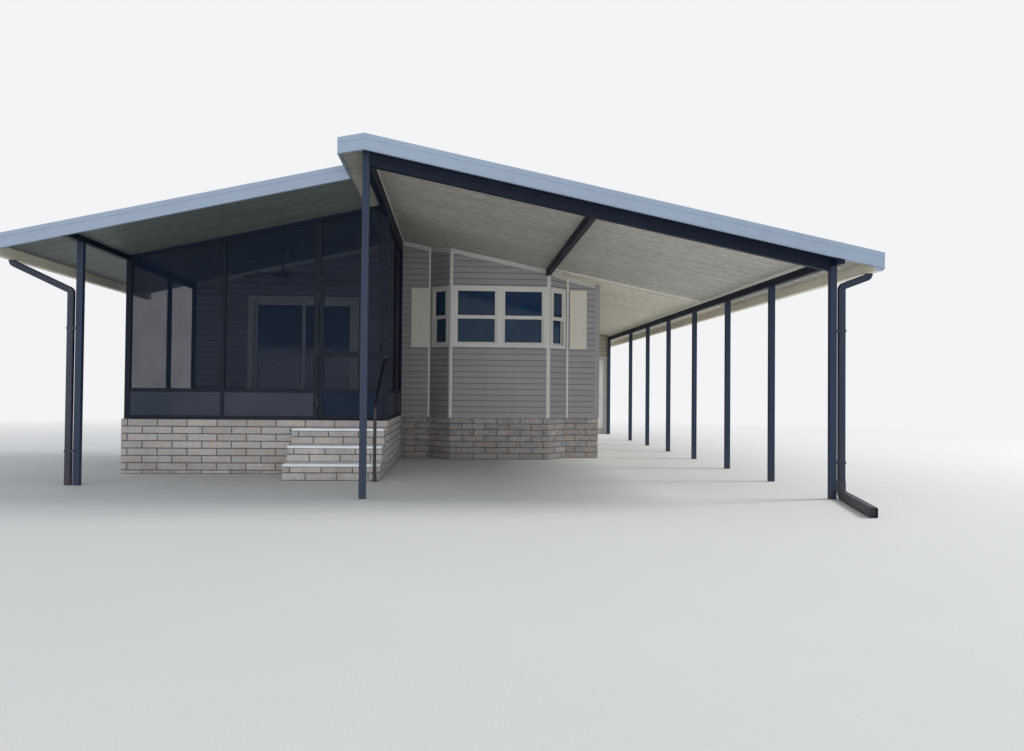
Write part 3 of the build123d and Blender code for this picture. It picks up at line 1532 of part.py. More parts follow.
with BuildPart() as side_wall:
    slab_x(wall_outline(STRIP_LEFT, HOME_RIGHT, SIDING_FOOT), ROOF_BACK, ROOM_BACK)
side_wall.part.label = "side_wall"

# Utility room
room_right = beam_right
room_inner = ROOM_FRONT + ROOM_WALL
with BuildPart() as room_front_wall:
    for x0, x1 in ((HOME_RIGHT, ROOM_DOOR_LEFT), (ROOM_DOOR_RIGHT, room_right)):
        slab_x(wall_outline(x0, x1, 0), ROOM_FRONT, room_inner)
room_front_wall.part.label = "room_front_wall"

with BuildPart() as over_room_door:
    slab_x(
        wall_outline(ROOM_DOOR_LEFT, ROOM_DOOR_RIGHT, ROOM_DOOR_HEAD), ROOM_FRONT, room_inner
    )
over_room_door.part.label = "over_room_door"

with BuildPart() as room_side_wall:
    slab_x(
        wall_outline(room_right - ROOM_WALL, room_right, 0), room_inner, ROOM_BACK - ROOM_WALL
    )
room_side_wall.part.label = "room_side_wall"

with BuildPart() as room_rear_wall:
    slab_x(wall_outline(HOME_RIGHT, room_right, 0), ROOM_BACK - ROOM_WALL, ROOM_BACK)
room_rear_wall.part.label = "room_rear_wall"

with BuildPart() as room_floor:
    block(
        HOME_RIGHT, room_right - ROOM_WALL, room_inner, ROOM_BACK - ROOM_WALL, 0, ROOM_FLOOR
    )
    block(ROOM_DOOR_LEFT, ROOM_DOOR_RIGHT, ROOM_FRONT, room_inner, 0, ROOM_FLOOR)
room_floor.part.label = "room_floor"

room_hinge_x = ROOM_DOOR_LEFT + MOVING_GAP / 2
room_leaf_front = ROOM_FRONT + LEAF_SETBACK
room_leaf_foot = ROOM_FLOOR + MOVING_GAP
room_leaf_head = ROOM_DOOR_HEAD - MOVING_GAP
room_hinges = hinge_heights(room_leaf_foot, room_leaf_head)
with BuildPart() as room_door_hinges:
    for z in room_hinges:
        fixed_hinge(room_hinge_x, ROOM_FRONT, z)
room_door_hinges.part.label = "room_door_hinges"

knob_x = ROOM_DOOR_RIGHT - MOVING_GAP - KNOB_INSET
knob_z = ROOM_FLOOR + KNOB_HEIGHT
with BuildPart() as room_door:
    for z in room_hinges:
        leaf_hinge(room_hinge_x, ROOM_FRONT, room_leaf_front, z)
    block(
        ROOM_DOOR_LEFT + MOVING_GAP,
        ROOM_DOOR_RIGHT - MOVING_GAP,
        room_leaf_front,
        room_leaf_front + ROOM_LEAF,
        room_leaf_foot,
        room_leaf_head,
    )
    with BuildSketch(at_x(knob_x)) as knob:
        with BuildLine():
            Polyline(
                (room_leaf_front, knob_z),
                (room_leaf_front, knob_z + KNOB),
                (room_leaf_front - KNOB / 5, knob_z + KNOB),
                (room_leaf_front - KNOB / 5, knob_z + KNOB / 3),
                (room_leaf_front - KNOB, knob_z + KNOB / 3),
                (room_leaf_front - KNOB * 1.3, knob_z + KNOB),
                (room_leaf_front - KNOB * 1.9, knob_z + KNOB * 0.85),
                (room_leaf_front - KNOB * 2.1, knob_z),
                close=True,
            )
        make_face()
    revolve(knob.sketch, axis=Axis((knob_x, 0, knob_z), (0, 1, 0)))
room_door.part.label = "room_door"

os.makedirs("parts", exist_ok=True)
for piece in (
    carport_roof,
    side_roof,
    porch_roof,
    front_fascia,
    porch_fascia,
    gutters,
    front_beam,
    ridge_beam,
    middle_beam,
    side_beam,
    porch_beam,
    front_ridge_post,
    side_posts,
    porch_post,
    downspouts,
    front_block_wall,
    side_block_walls,
    porch_floor,
    front_screen_frame,
    over_door_frame,
    side_screen_frames,
    kick_panels,
    insect_screens,
    screen_door,
    door_infill,
    screen_door_hinges,
    block_steps,
    step_treads,
    handrail,
    fan_mount,
    fan_blades,
    end_wall_left,
    over_slider_wall,
    end_wall_middle,
    end_wall_right,
    bay_front_wall,
    bay_side_walls,
    wall_trim,
    bay_window_frame,
    side_window_frames,
    window_glass,
    shutters,
    slider_frame,
    fixed_panel,
    fixed_glass,
    sliding_panel,
    sliding_glass,
    end_skirting,
    side_skirting,
    side_wall,
    room_front_wall,
    over_room_door,
    room_side_wall,
    room_rear_wall,
    room_floor,
    room_door_hinges,
    room_door,
):
    export_step(piece.part, f"parts/{piece.part.label}.step")
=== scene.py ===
"""Carport with a screened porch: finishes, siding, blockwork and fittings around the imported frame.

Every length is in metres.  X runs to the right along the front, Y back to the wall and Z up.
"""

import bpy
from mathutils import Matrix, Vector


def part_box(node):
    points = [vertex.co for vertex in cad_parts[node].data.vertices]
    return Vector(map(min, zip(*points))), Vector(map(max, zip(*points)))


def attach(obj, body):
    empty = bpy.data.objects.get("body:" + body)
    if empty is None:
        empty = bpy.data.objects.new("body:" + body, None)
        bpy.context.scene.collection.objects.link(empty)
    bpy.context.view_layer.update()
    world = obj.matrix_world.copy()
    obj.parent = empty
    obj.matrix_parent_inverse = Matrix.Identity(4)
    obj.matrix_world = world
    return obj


bl_info = {
    "name": "Carport with screened porch",
    "version": (1, 0, 0),
    "blender": (4, 5, 0),
    "location": "3D View > Sidebar > Carport",
    "description": "Dresses the packed carport with siding, blockwork, fittings and finishes",
    "category": "Object",
}

from math import cos, pi, radians, sin

import bpy
import numpy as np
from bpy.props import FloatProperty, FloatVectorProperty, PointerProperty
from mathutils import Matrix, Vector

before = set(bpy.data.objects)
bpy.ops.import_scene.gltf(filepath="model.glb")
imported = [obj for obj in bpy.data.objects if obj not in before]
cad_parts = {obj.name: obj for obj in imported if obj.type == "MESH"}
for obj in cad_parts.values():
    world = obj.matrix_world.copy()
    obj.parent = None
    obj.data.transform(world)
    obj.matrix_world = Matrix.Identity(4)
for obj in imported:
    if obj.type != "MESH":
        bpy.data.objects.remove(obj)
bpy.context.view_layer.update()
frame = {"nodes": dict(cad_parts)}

BODY = "structure"
UP = np.array((0.0, 0.0, 1.0))
TO_FRONT = (0.0, -1.0, 0.0)
SEED = 42
DIAGONAL = 2**0.5
BEND = DIAGONAL - 1


def low(node):
    """Lowest corner of a CAD node."""
    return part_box(node)[0]


def high(node):
    """Highest corner of a CAD node."""
    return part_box(node)[1]


def tint(red, green, blue):
    """Display colour from 0 to 255 as the linear colour that the shaders use."""
    level = np.array((red, green, blue)) / 255.0
    linear = np.where(level <= 0.04045, level / 12.92, ((level + 0.055) / 1.055) ** 2.4)
    return tuple(float(c) for c in linear)


# Roof, its planes as in the frame: the ceiling falls away from the ridge on both sides
RIDGE_Z = 3.848
RIGHT_FALL = 0.203
LEFT_FALL = 0.228
LEG_END = -0.285
PAN = 0.305
PANEL = 0.076
ROOF_FRONT = low("front_fascia").y
ROOF_JOINT = low("side_roof").y
RIGHT_EAVE = high("carport_roof").x

# Posts and beams
POST = 0.076
HALF_POST = POST / 2
POST_SPACING = 1.833
SPACED_POSTS = 7
RIGHT_LINE = (low("side_posts").x + high("side_posts").x) / 2
REAR_POST = high("side_posts").y - HALF_POST
LEFT_LINE = (low("porch_post").x + high("porch_post").x) / 2
LEFT_POST = (low("porch_post").y + high("porch_post").y) / 2
RIDGE_BEAM_LEFT = -0.02
MIDDLE_BEAM_RIGHT = high("middle_beam").x
SIDE_BEAM_LEFT = low("side_beam").x

# Walls of the home
WALL_FRONT = low("end_wall_left").y
WALL_BACK = high("end_wall_left").y
HOME_RIGHT = high("side_wall").x
SIDING_FOOT = high("end_skirting").z
HOME_TRIM = 0.072
CORNER_TRIM = 0.035
CASING = 0.045
UNDER_FRIEZE = 0.03
RIGHT_HEAD = (RIDGE_Z - UNDER_FRIEZE, -RIGHT_FALL)
LEFT_HEAD = (RIDGE_Z - UNDER_FRIEZE, LEFT_FALL)
LEG_HEAD = (RIDGE_Z - UNDER_FRIEZE, RIGHT_FALL)
BARE_HEAD = (RIDGE_Z, -RIGHT_FALL)

# Bay and its windows
BAY_FACE = low("bay_front_wall").y
BAY_LEFT = low("bay_side_walls").x
BAY_RIGHT = high("bay_side_walls").x
BAY_DEPTH = WALL_FRONT - BAY_FACE
BAY_SIDE = BAY_DEPTH * DIAGONAL
BAY_FRONT_LEFT = BAY_LEFT + BAY_DEPTH
BAY_FRONT_RIGHT = BAY_RIGHT - BAY_DEPTH
BAY_SLOPE = RIGHT_FALL / DIAGONAL
WINDOW_LEFT = low("bay_window_frame").x + CASING
WINDOW_RIGHT = high("bay_window_frame").x - CASING
WINDOW_FOOT = low("bay_window_frame").z + CASING
WINDOW_HEAD = high("bay_window_frame").z - CASING
SIDE_WINDOW_INSET = 0.09
SASH = 0.045
SASH_THICK = 0.025
SASH_FACE = 0.0095
MEETING_DROP = 0.009
MEETING_RAIL = 0.03
WINDOW_POST = 0.044

# Patio door
SLIDER_LEFT = low("over_slider_wall").x
SLIDER_RIGHT = high("over_slider_wall").x
SLIDER_HEAD = high("slider_frame").z - CASING

# Utility room
ROOM_FRONT = low("room_front_wall").y
ROOM_BACK = high("room_rear_wall").y
ROOM_RIGHT = high("room_side_wall").x
REAR_OVERLAP = 0.12
ROOM_DOOR_LEFT = low("over_room_door").x
ROOM_DOOR_RIGHT = high("over_room_door").x
ROOM_DOOR_HEAD = low("over_room_door").z
DOOR_CASING = 0.077
HINGE_LEAF = 0.032
CASING_SHEET = 0.008
JAMB_SHEET = 0.0015
ROOM_LEAF_DEPTH = 0.006

# Porch
PORCH_LEFT = low("front_block_wall").x
PORCH_RIGHT = high("front_block_wall").x
PORCH_FRONT = low("front_block_wall").y
PORCH_FLOOR = high("porch_floor").z
STEP_LEFT = low("block_steps").x
STEP_RIGHT = high("block_steps").x
STEP_FRONT = low("block_steps").y
STEP_RISE = 0.219
STEP_RUN = 0.29
STEPS = 3
TREAD = 0.038
FAN_X = -1.8
FAN_Y = 4.35
FAN_DROP = 0.4
FAN_BLADES = 5

# Blocks
PORCH_COURSES = 8
SKIRT_COURSES = 7
SKIRT_SETBACK = 0.014
BLOCK_JOINT_X = -3.541
STEP_JOINT_X = -0.939
SKIRT_JOINT = 0.1

# Screen framing and the screen door
FRAME_FRONT = low("front_screen_frame").y
FRAME_LEFT = low("front_screen_frame").x
FRAME_RIGHT = high("side_screen_frames").x
FRAME_BAR = 0.052
FRAME_INSIDE = FRAME_LEFT + FRAME_BAR
HALF_BAR = FRAME_BAR / 2
MULLION_X = -2.262
SIDE_MULLION_Y = 4.33
KICK_TOP = 1.165
DOOR_LEFT = low("over_door_frame").x
DOOR_JAMB = 0.07
LEAF_THICK = 0.032
MID_RAIL_Z = 1.69
HALF_RAIL = 0.035
SPLINE_OFFSET = 0.010
BEAD_DEPTH = -0.002


def right_z(x):
    """Ceiling height on the right slope."""
    return RIDGE_Z - RIGHT_FALL * x


def left_z(x):
    """Ceiling height on the left slope."""
    return RIDGE_Z + LEFT_FALL * x


# ---- sizes and colours that a user changes


def length(name, about, default):
    """Length property with its default in metres."""
    return FloatProperty(name=name, description=about, default=default, unit="LENGTH")


def colour(name, about, red, green, blue):
    """Colour property with its default given as display levels."""
    start = tint(red, green, blue)
    return FloatVectorProperty(
        name=name, description=about, default=start, subtype="COLOR", size=3, min=0, max=1
    )


class CarportSizes(bpy.types.PropertyGroup):
    """Sizes of the siding, blockwork and small fittings."""

    lap: length("Siding lap", "Height of siding that shows", 0.1016)
    butt: length("Lap thickness", "How far the foot of a lap stands out", 0.0072)
    course: length("Block course", "Height of a block and its joint", 0.1016)
    block: length("Block length", "Length of a block and its joint", 0.4064)
    joint: length("Joint", "Width of a mortar joint", 0.009)
    swell: length("Block face", "How far a block's face stands out", 0.006)
    strip: length("Ceiling strip", "Width of the white closure strips", 0.014)
    joint_strip: length("Roof joint strip", "Width of the strip at the roof joint", 0.048)
    closure: length("Side closure", "Height of the strip along the side beam", 0.036)
    screw: length("Screw", "Radius of a screw's head", 0.0045)
    bead: length("Screen bead", "Radius of the bead that holds a screen", 0.0028)
    floor: length("Floor", "Half the floor's width", 90.0)


class CarportColours(bpy.types.PropertyGroup):
    """Colours of the finishes."""

    ceiling: colour("Ceiling", "Underside of the roof pans", 186, 183, 174)
    # Painted light: written lighter and warmer than the other ceiling for the sunlight bounced onto
    # it
    lit_strip_ceiling: colour("Strip ceiling", "Underside of the roof beside the home", 224, 218, 200)
    # Painted light: lighter cream for the light bounced up into the gutters
    lit_gutter_lining: colour("Gutter lining", "Inner and lower faces of the gutters", 236, 229, 208)
    # Painted shade: the ceiling's underside written dark green-grey for the shade over the porch
    shaded_porch_ceiling: colour("Porch ceiling", "Underside of the porch roof", 106, 113, 110)
    roof: colour("Roof", "Upper side of the roof pans", 206, 208, 208)
    # Painted shade: white enamel written as the blue-grey it shows in shade
    fascia: colour("Fascia", "Fascias and gutters", 152, 167, 187)
    # Painted shade: dark bronze written with the blue cast of shade
    frame: colour("Posts", "Posts", 40, 52, 76)
    # Painted shade: the same bronze as the posts, written darker still for the shade on the beams
    # and framing
    beam: colour("Beams", "Beams and screen framing", 14, 25, 43)
    kick: colour("Kick panels", "Smooth panels under the screens", 31, 43, 63)
    mesh: colour("Insect mesh", "Screens", 12, 32, 60)
    block: colour("Blocks", "Faces of the blocks", 183, 180, 180)
    blush: colour("Blush", "Warm patches on the blocks", 196, 176, 158)
    # Painted shade: the same blocks as the porch's, written darker for the shade under the bay
    skirting: colour("Skirting blocks", "Faces of the blocks under the siding", 146, 146, 148)
    mortar: colour("Mortar", "Joints between blocks", 98, 93, 92)
    tread: colour("Treads", "Caps of the steps", 240, 243, 248)
    floor: colour("Slab", "Porch and room floors", 168, 166, 162)
    siding: colour("Siding", "Lap siding of the home", 150, 147, 149)
    room_siding: colour("Room siding", "Lap siding of the utility room", 178, 170, 153)
    lining: colour("Lining", "Inner side of the walls", 176, 172, 162)
    trim: colour("Trim", "Casings, frieze and corner boards", 206, 205, 200)
    strip: colour("Strips", "Closure strips of the ceiling", 238, 235, 224)
    shutter: colour("Shutters", "Shutters beside the bay", 212, 206, 195)
    # Painted reflection: the panes' dark blue partly stands in for the dark surroundings they would
    # reflect
    glass: colour("Glass", "Dark tinted panes", 22, 52, 84)
    door: colour("Room door", "Door at the far end", 222, 219, 214)
    spout: colour("Downspouts", "Downspouts and foot piece", 37, 46, 64)
    rail: colour("Rail", "Handrail, hinges and fan rod", 26, 28, 34)
    fan: colour("Fan", "Fan motor and blades", 66, 56, 48)
    rubber: colour("Rubber", "Beads and gaskets", 16, 17, 20)
    dirt: colour("Dirt", "Streaks, splashes and dust", 88, 80, 68)
    rust: colour("Rust", "Stains at feet and fixings", 96, 62, 42)
    ground: colour("Ground", "Studio floor", 213, 212, 209)
    backdrop: colour("Backdrop", "Studio background", 243, 244, 246)


def sizes():
    """The scene's size settings."""
    return bpy.context.scene.carport_sizes


def shades():
    """The scene's colour settings."""
    return bpy.context.scene.carport_colours


# ---- meshes worked out as whole arrays


def mesh_piece(name, points, quads, material, slot, body=BODY, smooth=False):
    """Object from an array of points and an array of four corner numbers a face."""
    points = np.ascontiguousarray(points, dtype=np.float32).reshape(-1, 3)
    quads = np.ascontiguousarray(quads, dtype=np.int32).reshape(-1, 4)
    mesh = bpy.data.meshes.new(name)
    mesh.vertices.add(len(points))
    mesh.vertices.foreach_set("co", points.ravel())
    mesh.loops.add(quads.size)
    mesh.loops.foreach_set("vertex_index", quads.ravel())
    mesh.polygons.add(len(quads))
    mesh.polygons.foreach_set("loop_start", np.arange(0, quads.size, 4, dtype=np.int32))
    mesh.polygons.foreach_set("use_smooth", np.full(len(quads), smooth))
    mesh.update(calc_edges=True)
    mesh.validate()
    mesh.materials.append(material)
    piece = bpy.data.objects.new(name, mesh)
    bpy.context.scene.collection.objects.link(piece)
    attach(piece, body)
    return piece


def tone_faces(piece, each, reach, rng):
    """Gives each run of faces its own tone near 1, stored on the mesh for the shaders."""
    count = len(piece.data.polygons)
    tones = np.repeat(rng.uniform(1 - reach, 1 + reach, count // each), each)
    layer = piece.data.attributes.new("tone", "FLOAT", "FACE")
    layer.data.foreach_set("value", tones.astype(np.float32))


def joined(parts):
    """Several (points, quads) pairs as one, with the corner numbers carried on."""
    points = []
    quads = []
    count = 0
    for part_points, part_quads in parts:
        part_points = np.asarray(part_points, float).reshape(-1, 3)
        points.append(part_points)
        quads.append(np.asarray(part_quads, int).reshape(-1, 4) + count)
        count += len(part_points)
    return np.concatenate(points), np.concatenate(quads)


def facing(points, quads, outward):
    """Turns round the quads whose normal runs against outward, which has one row a quad."""
    corner = points[quads]
    normal = np.cross(corner[:, 2] - corner[:, 0], corner[:, 3] - corner[:, 1])
    wrong = (normal * outward).sum(1) < 0
    quads = quads.copy()
    quads[wrong] = quads[wrong][:, ::-1]
    return quads


def patches(points, outward):
    """Grids of points, shaped (n, rows, columns, 3), as quads that face outward (n, 3)."""
    n, rows, columns = points.shape[:3]
    number = np.arange(n * rows * columns).reshape(n, rows, columns)
    near, far = number[:, :-1], number[:, 1:]
    ring = (near[..., :-1], far[..., :-1], far[..., 1:], near[..., 1:])
    quads = np.stack(ring, -1).reshape(-1, 4)
    each = (rows - 1) * (columns - 1)
    flat = points.reshape(-1, 3)
    return flat, facing(flat, quads, np.repeat(outward, each, axis=0))


def prisms(points):
    """Closed four-sided bars: points shaped (n, 2 ends, 4 round the section, 3)."""
    n = len(points)
    number = np.arange(n * 8).reshape(n, 2, 4)
    a, b = number[:, 0], number[:, 1]
    sides = [np.stack((a[:, i], a[:, i - 3], b[:, i - 3], b[:, i]), -1) for i in range(4)]
    quads = np.stack(sides + [a, b], 1).reshape(-1, 4)
    flat = points.reshape(-1, 3)
    centre = points.reshape(n, 8, 3).mean(1)
    outward = flat[quads].mean(1) - np.repeat(centre, 6, axis=0)
    return flat, facing(flat, quads, outward)


def boxes(lows, highs):
    """Upright boxes from their lowest and highest corners, both shaped (n, 3)."""
    lows = np.atleast_2d(np.asarray(lows, float))
    highs = np.atleast_2d(np.asarray(highs, float))
    pick = np.array([[(end, 0, 0), (end, 1, 0), (end, 1, 1), (end, 0, 1)] for end in (0, 1)])
    points = np.where(pick[None] == 0, lows[:, None, None], highs[:, None, None])
    return prisms(points)


def mitred_loop(corners, normal, profile):
    """Profile carried round a closed flat polygon, each ring lying in the corner's mitre.

    Ring point = corner + a * mitre + b * normal, with (a, b) from the profile and the mitre
    the sum of the two edges' outward directions over one plus their product.
    """
    corners = np.asarray(corners, float)
    normal = np.asarray(normal, float)
    edge = np.roll(corners, -1, 0) - corners
    edge /= np.linalg.norm(edge, axis=1, keepdims=True)
    out = np.cross(edge, normal)
    before = np.roll(out, 1, 0)
    mitre = (out + before) / (1 + (out * before).sum(1, keepdims=True))
    a, b = np.asarray(profile, float).T
    points = corners[:, None] + a[:, None] * mitre[:, None] + b[:, None] * normal
    k, p = points.shape[:2]
    number = np.arange(k * p).reshape(k, p)
    ahead = np.roll(number, -1, 0)
    quads = np.stack((number, np.roll(number, -1, 1), np.roll(ahead, -1, 1), ahead), -1)
    flat = points.reshape(-1, 3)
    quads = quads.reshape(-1, 4)
    centre = (points.mean(1) + np.roll(points.mean(1), -1, 0)) / 2
    outward = flat[quads].mean(1) - np.repeat(centre, p, axis=0)
    return flat, facing(flat, quads, outward)


ROUND_SIDES = 8


def round_profile(radius):
    """Points round a circle: (radius * cos, radius * sin) of equal turns."""
    turn = np.arange(ROUND_SIDES) * 2 * pi / ROUND_SIDES
    return np.stack((radius * np.cos(turn), radius * np.sin(turn)), -1)


def studs(centres, normals, radius, rise):
    """Low closed buttons: a ring at each of three heights over a centre, the last one narrower.

    Ring point = centre + width * (cos * side + sin * other) + height * normal.
    """
    centres = np.atleast_2d(np.asarray(centres, float))
    normals = np.broadcast_to(np.asarray(normals, float), centres.shape)
    normals = normals / np.linalg.norm(normals, axis=1, keepdims=True)
    helper = np.where(np.abs(normals[:, 2:3]) > 0.9, np.array((1.0, 0, 0)), UP)
    side = np.cross(normals, helper)
    side /= np.linalg.norm(side, axis=1, keepdims=True)
    other = np.cross(normals, side)
    across, along = round_profile(1.0).T[:, None, :, None]
    ring = across * side[:, None] + along * other[:, None]
    levels = ((1.0, -0.3 * rise), (1.0, 0.45 * rise), (0.62, rise))
    middles, outs = centres[:, None], normals[:, None]
    rings = [middles + radius * width * ring + height * outs for width, height in levels]
    points = np.stack(rings, 1)
    n = len(centres)
    number = np.arange(n * 3 * ROUND_SIDES).reshape(n, 3, ROUND_SIDES)
    ahead = np.roll(number, -1, 2)
    walls = np.stack((number[:, :-1], ahead[:, :-1], ahead[:, 1:], number[:, 1:]), -1)
    cover = np.array([(0, 1, 2, 3), (0, 3, 4, 7), (4, 5, 6, 7)])
    caps = (number[:, 0][:, cover], number[:, 2][:, cover])
    quads = np.concatenate((walls.reshape(n, -1, 4), *caps), 1)
    each = quads.shape[1]
    flat = points.reshape(-1, 3)
    quads = quads.reshape(-1, 4)
    middle = points.reshape(n, -1, 3).mean(1)
    outward = flat[quads].mean(1) - np.repeat(middle, each, axis=0)
    return flat, facing(flat, quads, outward)


class Wall:
    """Flat upright face: s runs along it, z up and d out of it."""

    def __init__(self, origin, along, out):
        self.origin = np.array(origin, float)
        self.along = np.array(along, float) / np.linalg.norm(along)
        self.out = np.array(out, float) / np.linalg.norm(out)

    def at(self, s, z, d):
        """Points from arrays of s, z and d."""
        s, z, d = (part[..., None] for part in np.broadcast_arrays(s, z, d))
        return self.origin + s * self.along + z * UP + d * self.out


LAP_TAPER = 0.8
LAP_BACK = -0.002
COURSE_SLACK = 0.02


def laps(wall, s0, s1, z0, z1, head=None):
    """Lap siding: each course is a wedge, thick at its foot and thin where the next one covers it.

    Thickness = butt * (1 - taper * height in the course / lap).  Courses stand at the same
    heights on every wall.  head gives (height at s = 0, slope) of a sloping upper edge.
    """
    size = sizes()
    if head is not None:
        base, slope = head
        z1 = max(base + slope * s0, base + slope * s1)
    first = np.floor((z0 - SIDING_FOOT) / size.lap + COURSE_SLACK)
    last = np.ceil((z1 - SIDING_FOOT) / size.lap - COURSE_SLACK)
    start = SIDING_FOOT + size.lap * np.arange(first, last)
    z = np.stack((np.maximum(start, z0), np.minimum(start + size.lap, z1)), -1)
    left = np.full(z.shape, s0)
    right = np.full(z.shape, s1)
    if head is not None:
        reach = np.clip((z - base) / slope, s0, s1)
        if slope < 0:
            right = reach
        else:
            left = reach
    thick = size.butt * (1 - LAP_TAPER * (z - start[:, None]) / size.lap)
    back = np.full(len(z), LAP_BACK)
    ring_z = z[:, (0, 0, 1, 1)]
    ring_d = np.stack((back, thick[:, 0], thick[:, 1], back), -1)
    ends = [wall.at(s[:, (0, 0, 1, 1)], ring_z, ring_d) for s in (left, right)]
    return prisms(np.stack(ends, 1))


SHORTEST_BLOCK = 0.03
PILLOW_EDGE = 0.005
SUNK = -0.4
SHOULDER = 0.55
ROUGH = 0.0006
TILT = 0.0004


def courses(wall, s0, s1, rows, rng, wrap=(False, False)):
    """Blocks laid in running bond, each a pillow: it rises from the mortar at its edges.

    Height of the face = swell * the lesser of edge(u) and edge(v), plus a little seeded
    roughness, where edge runs from below the mortar at the rim up to one just inside it.
    rows holds (foot, top, place of one joint).  At a wrapped end the face runs on round the
    corner at its full height.
    """
    size = sizes()
    gap = size.joint / 2
    rects = []
    for foot, top, start in rows:
        first = np.ceil((s0 - start) / size.block)
        last = np.floor((s1 - start) / size.block)
        joints = start + size.block * np.arange(first, last + 1)
        joints = joints[(joints > s0 + SHORTEST_BLOCK) & (joints < s1 - SHORTEST_BLOCK)]
        edges = np.concatenate(((s0 - gap,), joints, (s1 + gap,)))
        for n, (a, b) in enumerate(zip(edges[:-1], edges[1:])):
            at_start = wrap[0] and n == 0
            at_end = wrap[1] and n == len(edges) - 2
            a = a + gap - size.swell * at_start
            b = b - gap + size.swell * at_end
            rects.append((a, b, foot + gap, top - gap, at_start, at_end))
    a, b, foot, top, at_start, at_end = np.array(rects, float).T
    inset = PILLOW_EDGE / (b - a)
    middle = np.broadcast_to((0.25, 0.5, 0.75), (len(a), 3))
    u = np.column_stack((0 * a, inset, 3 * inset, middle, 1 - 3 * inset, 1 - inset, 1 + 0 * a))
    v = np.array((0, 0.05, 0.14, 0.5, 0.86, 0.95, 1))
    rise_v = np.array((SUNK, SHOULDER, 1, 1, 1, SHOULDER, SUNK))
    rise_u = np.ones((len(a), 9))
    for n, depth in ((0, SUNK), (1, SHOULDER)):
        rise_u[:, n] = np.where(at_start > 0, 1, depth)
        rise_u[:, 8 - n] = np.where(at_end > 0, 1, depth)
    s = a[:, None, None] + (b - a)[:, None, None] * u[:, None, :]
    z = foot[:, None, None] + (top - foot)[:, None, None] * v[None, :, None]
    rise = np.minimum(rise_u[:, None, :], rise_v[None, :, None])
    rough = rng.normal(0, ROUGH, rise.shape)
    rough[:, :, (0, 1, -2, -1)] = 0
    tilt = rng.normal(0, TILT, (len(a), 1, 1)) * np.sin(2 * pi * u[:, None, :])
    d = size.swell * rise + np.where(rise > 0.9, rough + tilt, 0)
    s, z = np.broadcast_arrays(s, z)
    return patches(wall.at(s, z, d), np.broadcast_to(wall.out, (len(a), 3)))


# ---- shader node groups


def place(tree, kind, inputs=None, **settings):
    """New node with its settings, and its inputs set or linked by name or number."""
    node = tree.nodes.new(kind)
    for key, value in settings.items():
        setattr(node, key, value)
    for key, value in (inputs or {}).items():
        socket = node.inputs[key]
        if isinstance(value, bpy.types.NodeSocket):
            tree.links.new(value, socket)
        else:
            socket.default_value = value
    return node


def maths(tree, operation, a, b=0.0):
    """Result of one Math node."""
    return place(tree, "ShaderNodeMath", {0: a, 1: b}, operation=operation).outputs[0]


def ramp(tree, value, start, stop, first=0.0, last=1.0):
    """Value carried from the range start to stop onto first to last, and held there."""
    node = place(tree, "ShaderNodeMapRange", {0: value, 1: start, 2: stop, 3: first, 4: last})
    return node.outputs[0]


def product(tree, *values):
    """Values multiplied together, from the left."""
    total = values[0]
    for value in values[1:]:
        total = maths(tree, "MULTIPLY", total, value)
    return total


def spread(tree, value, first=0.0, last=1.0):
    """Noise carried from its usual range onto first to last."""
    return ramp(tree, value, 0.3, 0.7, first, last)


def mixed(tree, factor, a, b):
    """Colour a turning into b."""
    node = place(tree, "ShaderNodeMix", {0: factor, 6: a, 7: b}, data_type="RGBA")
    return node.outputs[2]


def scaled(tree, vector, factor):
    """Vector or colour times a value."""
    node = place(tree, "ShaderNodeVectorMath", {0: vector, "Scale": factor}, operation="SCALE")
    return node.outputs[0]


def noise(tree, vector, scale, detail=4.0, roughness=0.55):
    """Noise between about 0.3 and 0.7."""
    node = place(
        tree,
        "ShaderNodeTexNoise",
        {"Vector": vector, "Scale": scale, "Detail": detail, "Roughness": roughness},
    )
    return node.outputs[0]


FLOAT = "NodeSocketFloat"
COLOUR = "NodeSocketColor"


def new_group(name, inputs, outputs):
    """Empty shader group with named sockets: its tree, its inputs by name and its output node."""
    tree = bpy.data.node_groups.new(name, "ShaderNodeTree")
    for label, kind, value in inputs:
        socket = tree.interface.new_socket(name=label, in_out="INPUT", socket_type=kind)
        socket.default_value = value
    for label, kind in outputs:
        tree.interface.new_socket(name=label, in_out="OUTPUT", socket_type=kind)
    start = tree.nodes.new("NodeGroupInput")
    end = tree.nodes.new("NodeGroupOutput")
    return tree, start.outputs, end.inputs


def object_point(tree):
    """Object coordinates."""
    return tree.nodes.new("ShaderNodeTexCoord").outputs["Object"]


def stretched(tree, vector, scale, turn=0.0):
    """Coordinates squeezed along each axis and turned about Z."""
    node = place(
        tree,
        "ShaderNodeMapping",
        {"Vector": vector, "Scale": scale, "Rotation": (0.0, 0.0, turn)},
        vector_type="POINT",
    )
    return node.outputs[0]


def split(tree, vector):
    """The three parts of a vector."""
    return place(tree, "ShaderNodeSeparateXYZ", {0: vector}).outputs


def distance(tree, vector):
    """Length of a vector."""
    return place(tree, "ShaderNodeVectorMath", {0: vector}, operation="LENGTH").outputs["Value"]


def facing_way(tree):
    """The three parts of the direction in which a face points."""
    return split(tree, tree.nodes.new("ShaderNodeNewGeometry").outputs["Normal"])


def from_line(tree, value, start, pitch):
    """Distance to the nearest of the lines that repeat at a pitch."""
    turns = maths(tree, "DIVIDE", maths(tree, "SUBTRACT", value, start), pitch)
    return product(tree, maths(tree, "PINGPONG", turns, 0.5), pitch)


def own_tone(tree):
    """Tone stored on each face."""
    node = place(tree, "ShaderNodeAttribute", attribute_type="GEOMETRY", attribute_name="tone")
    return node.outputs["Fac"]


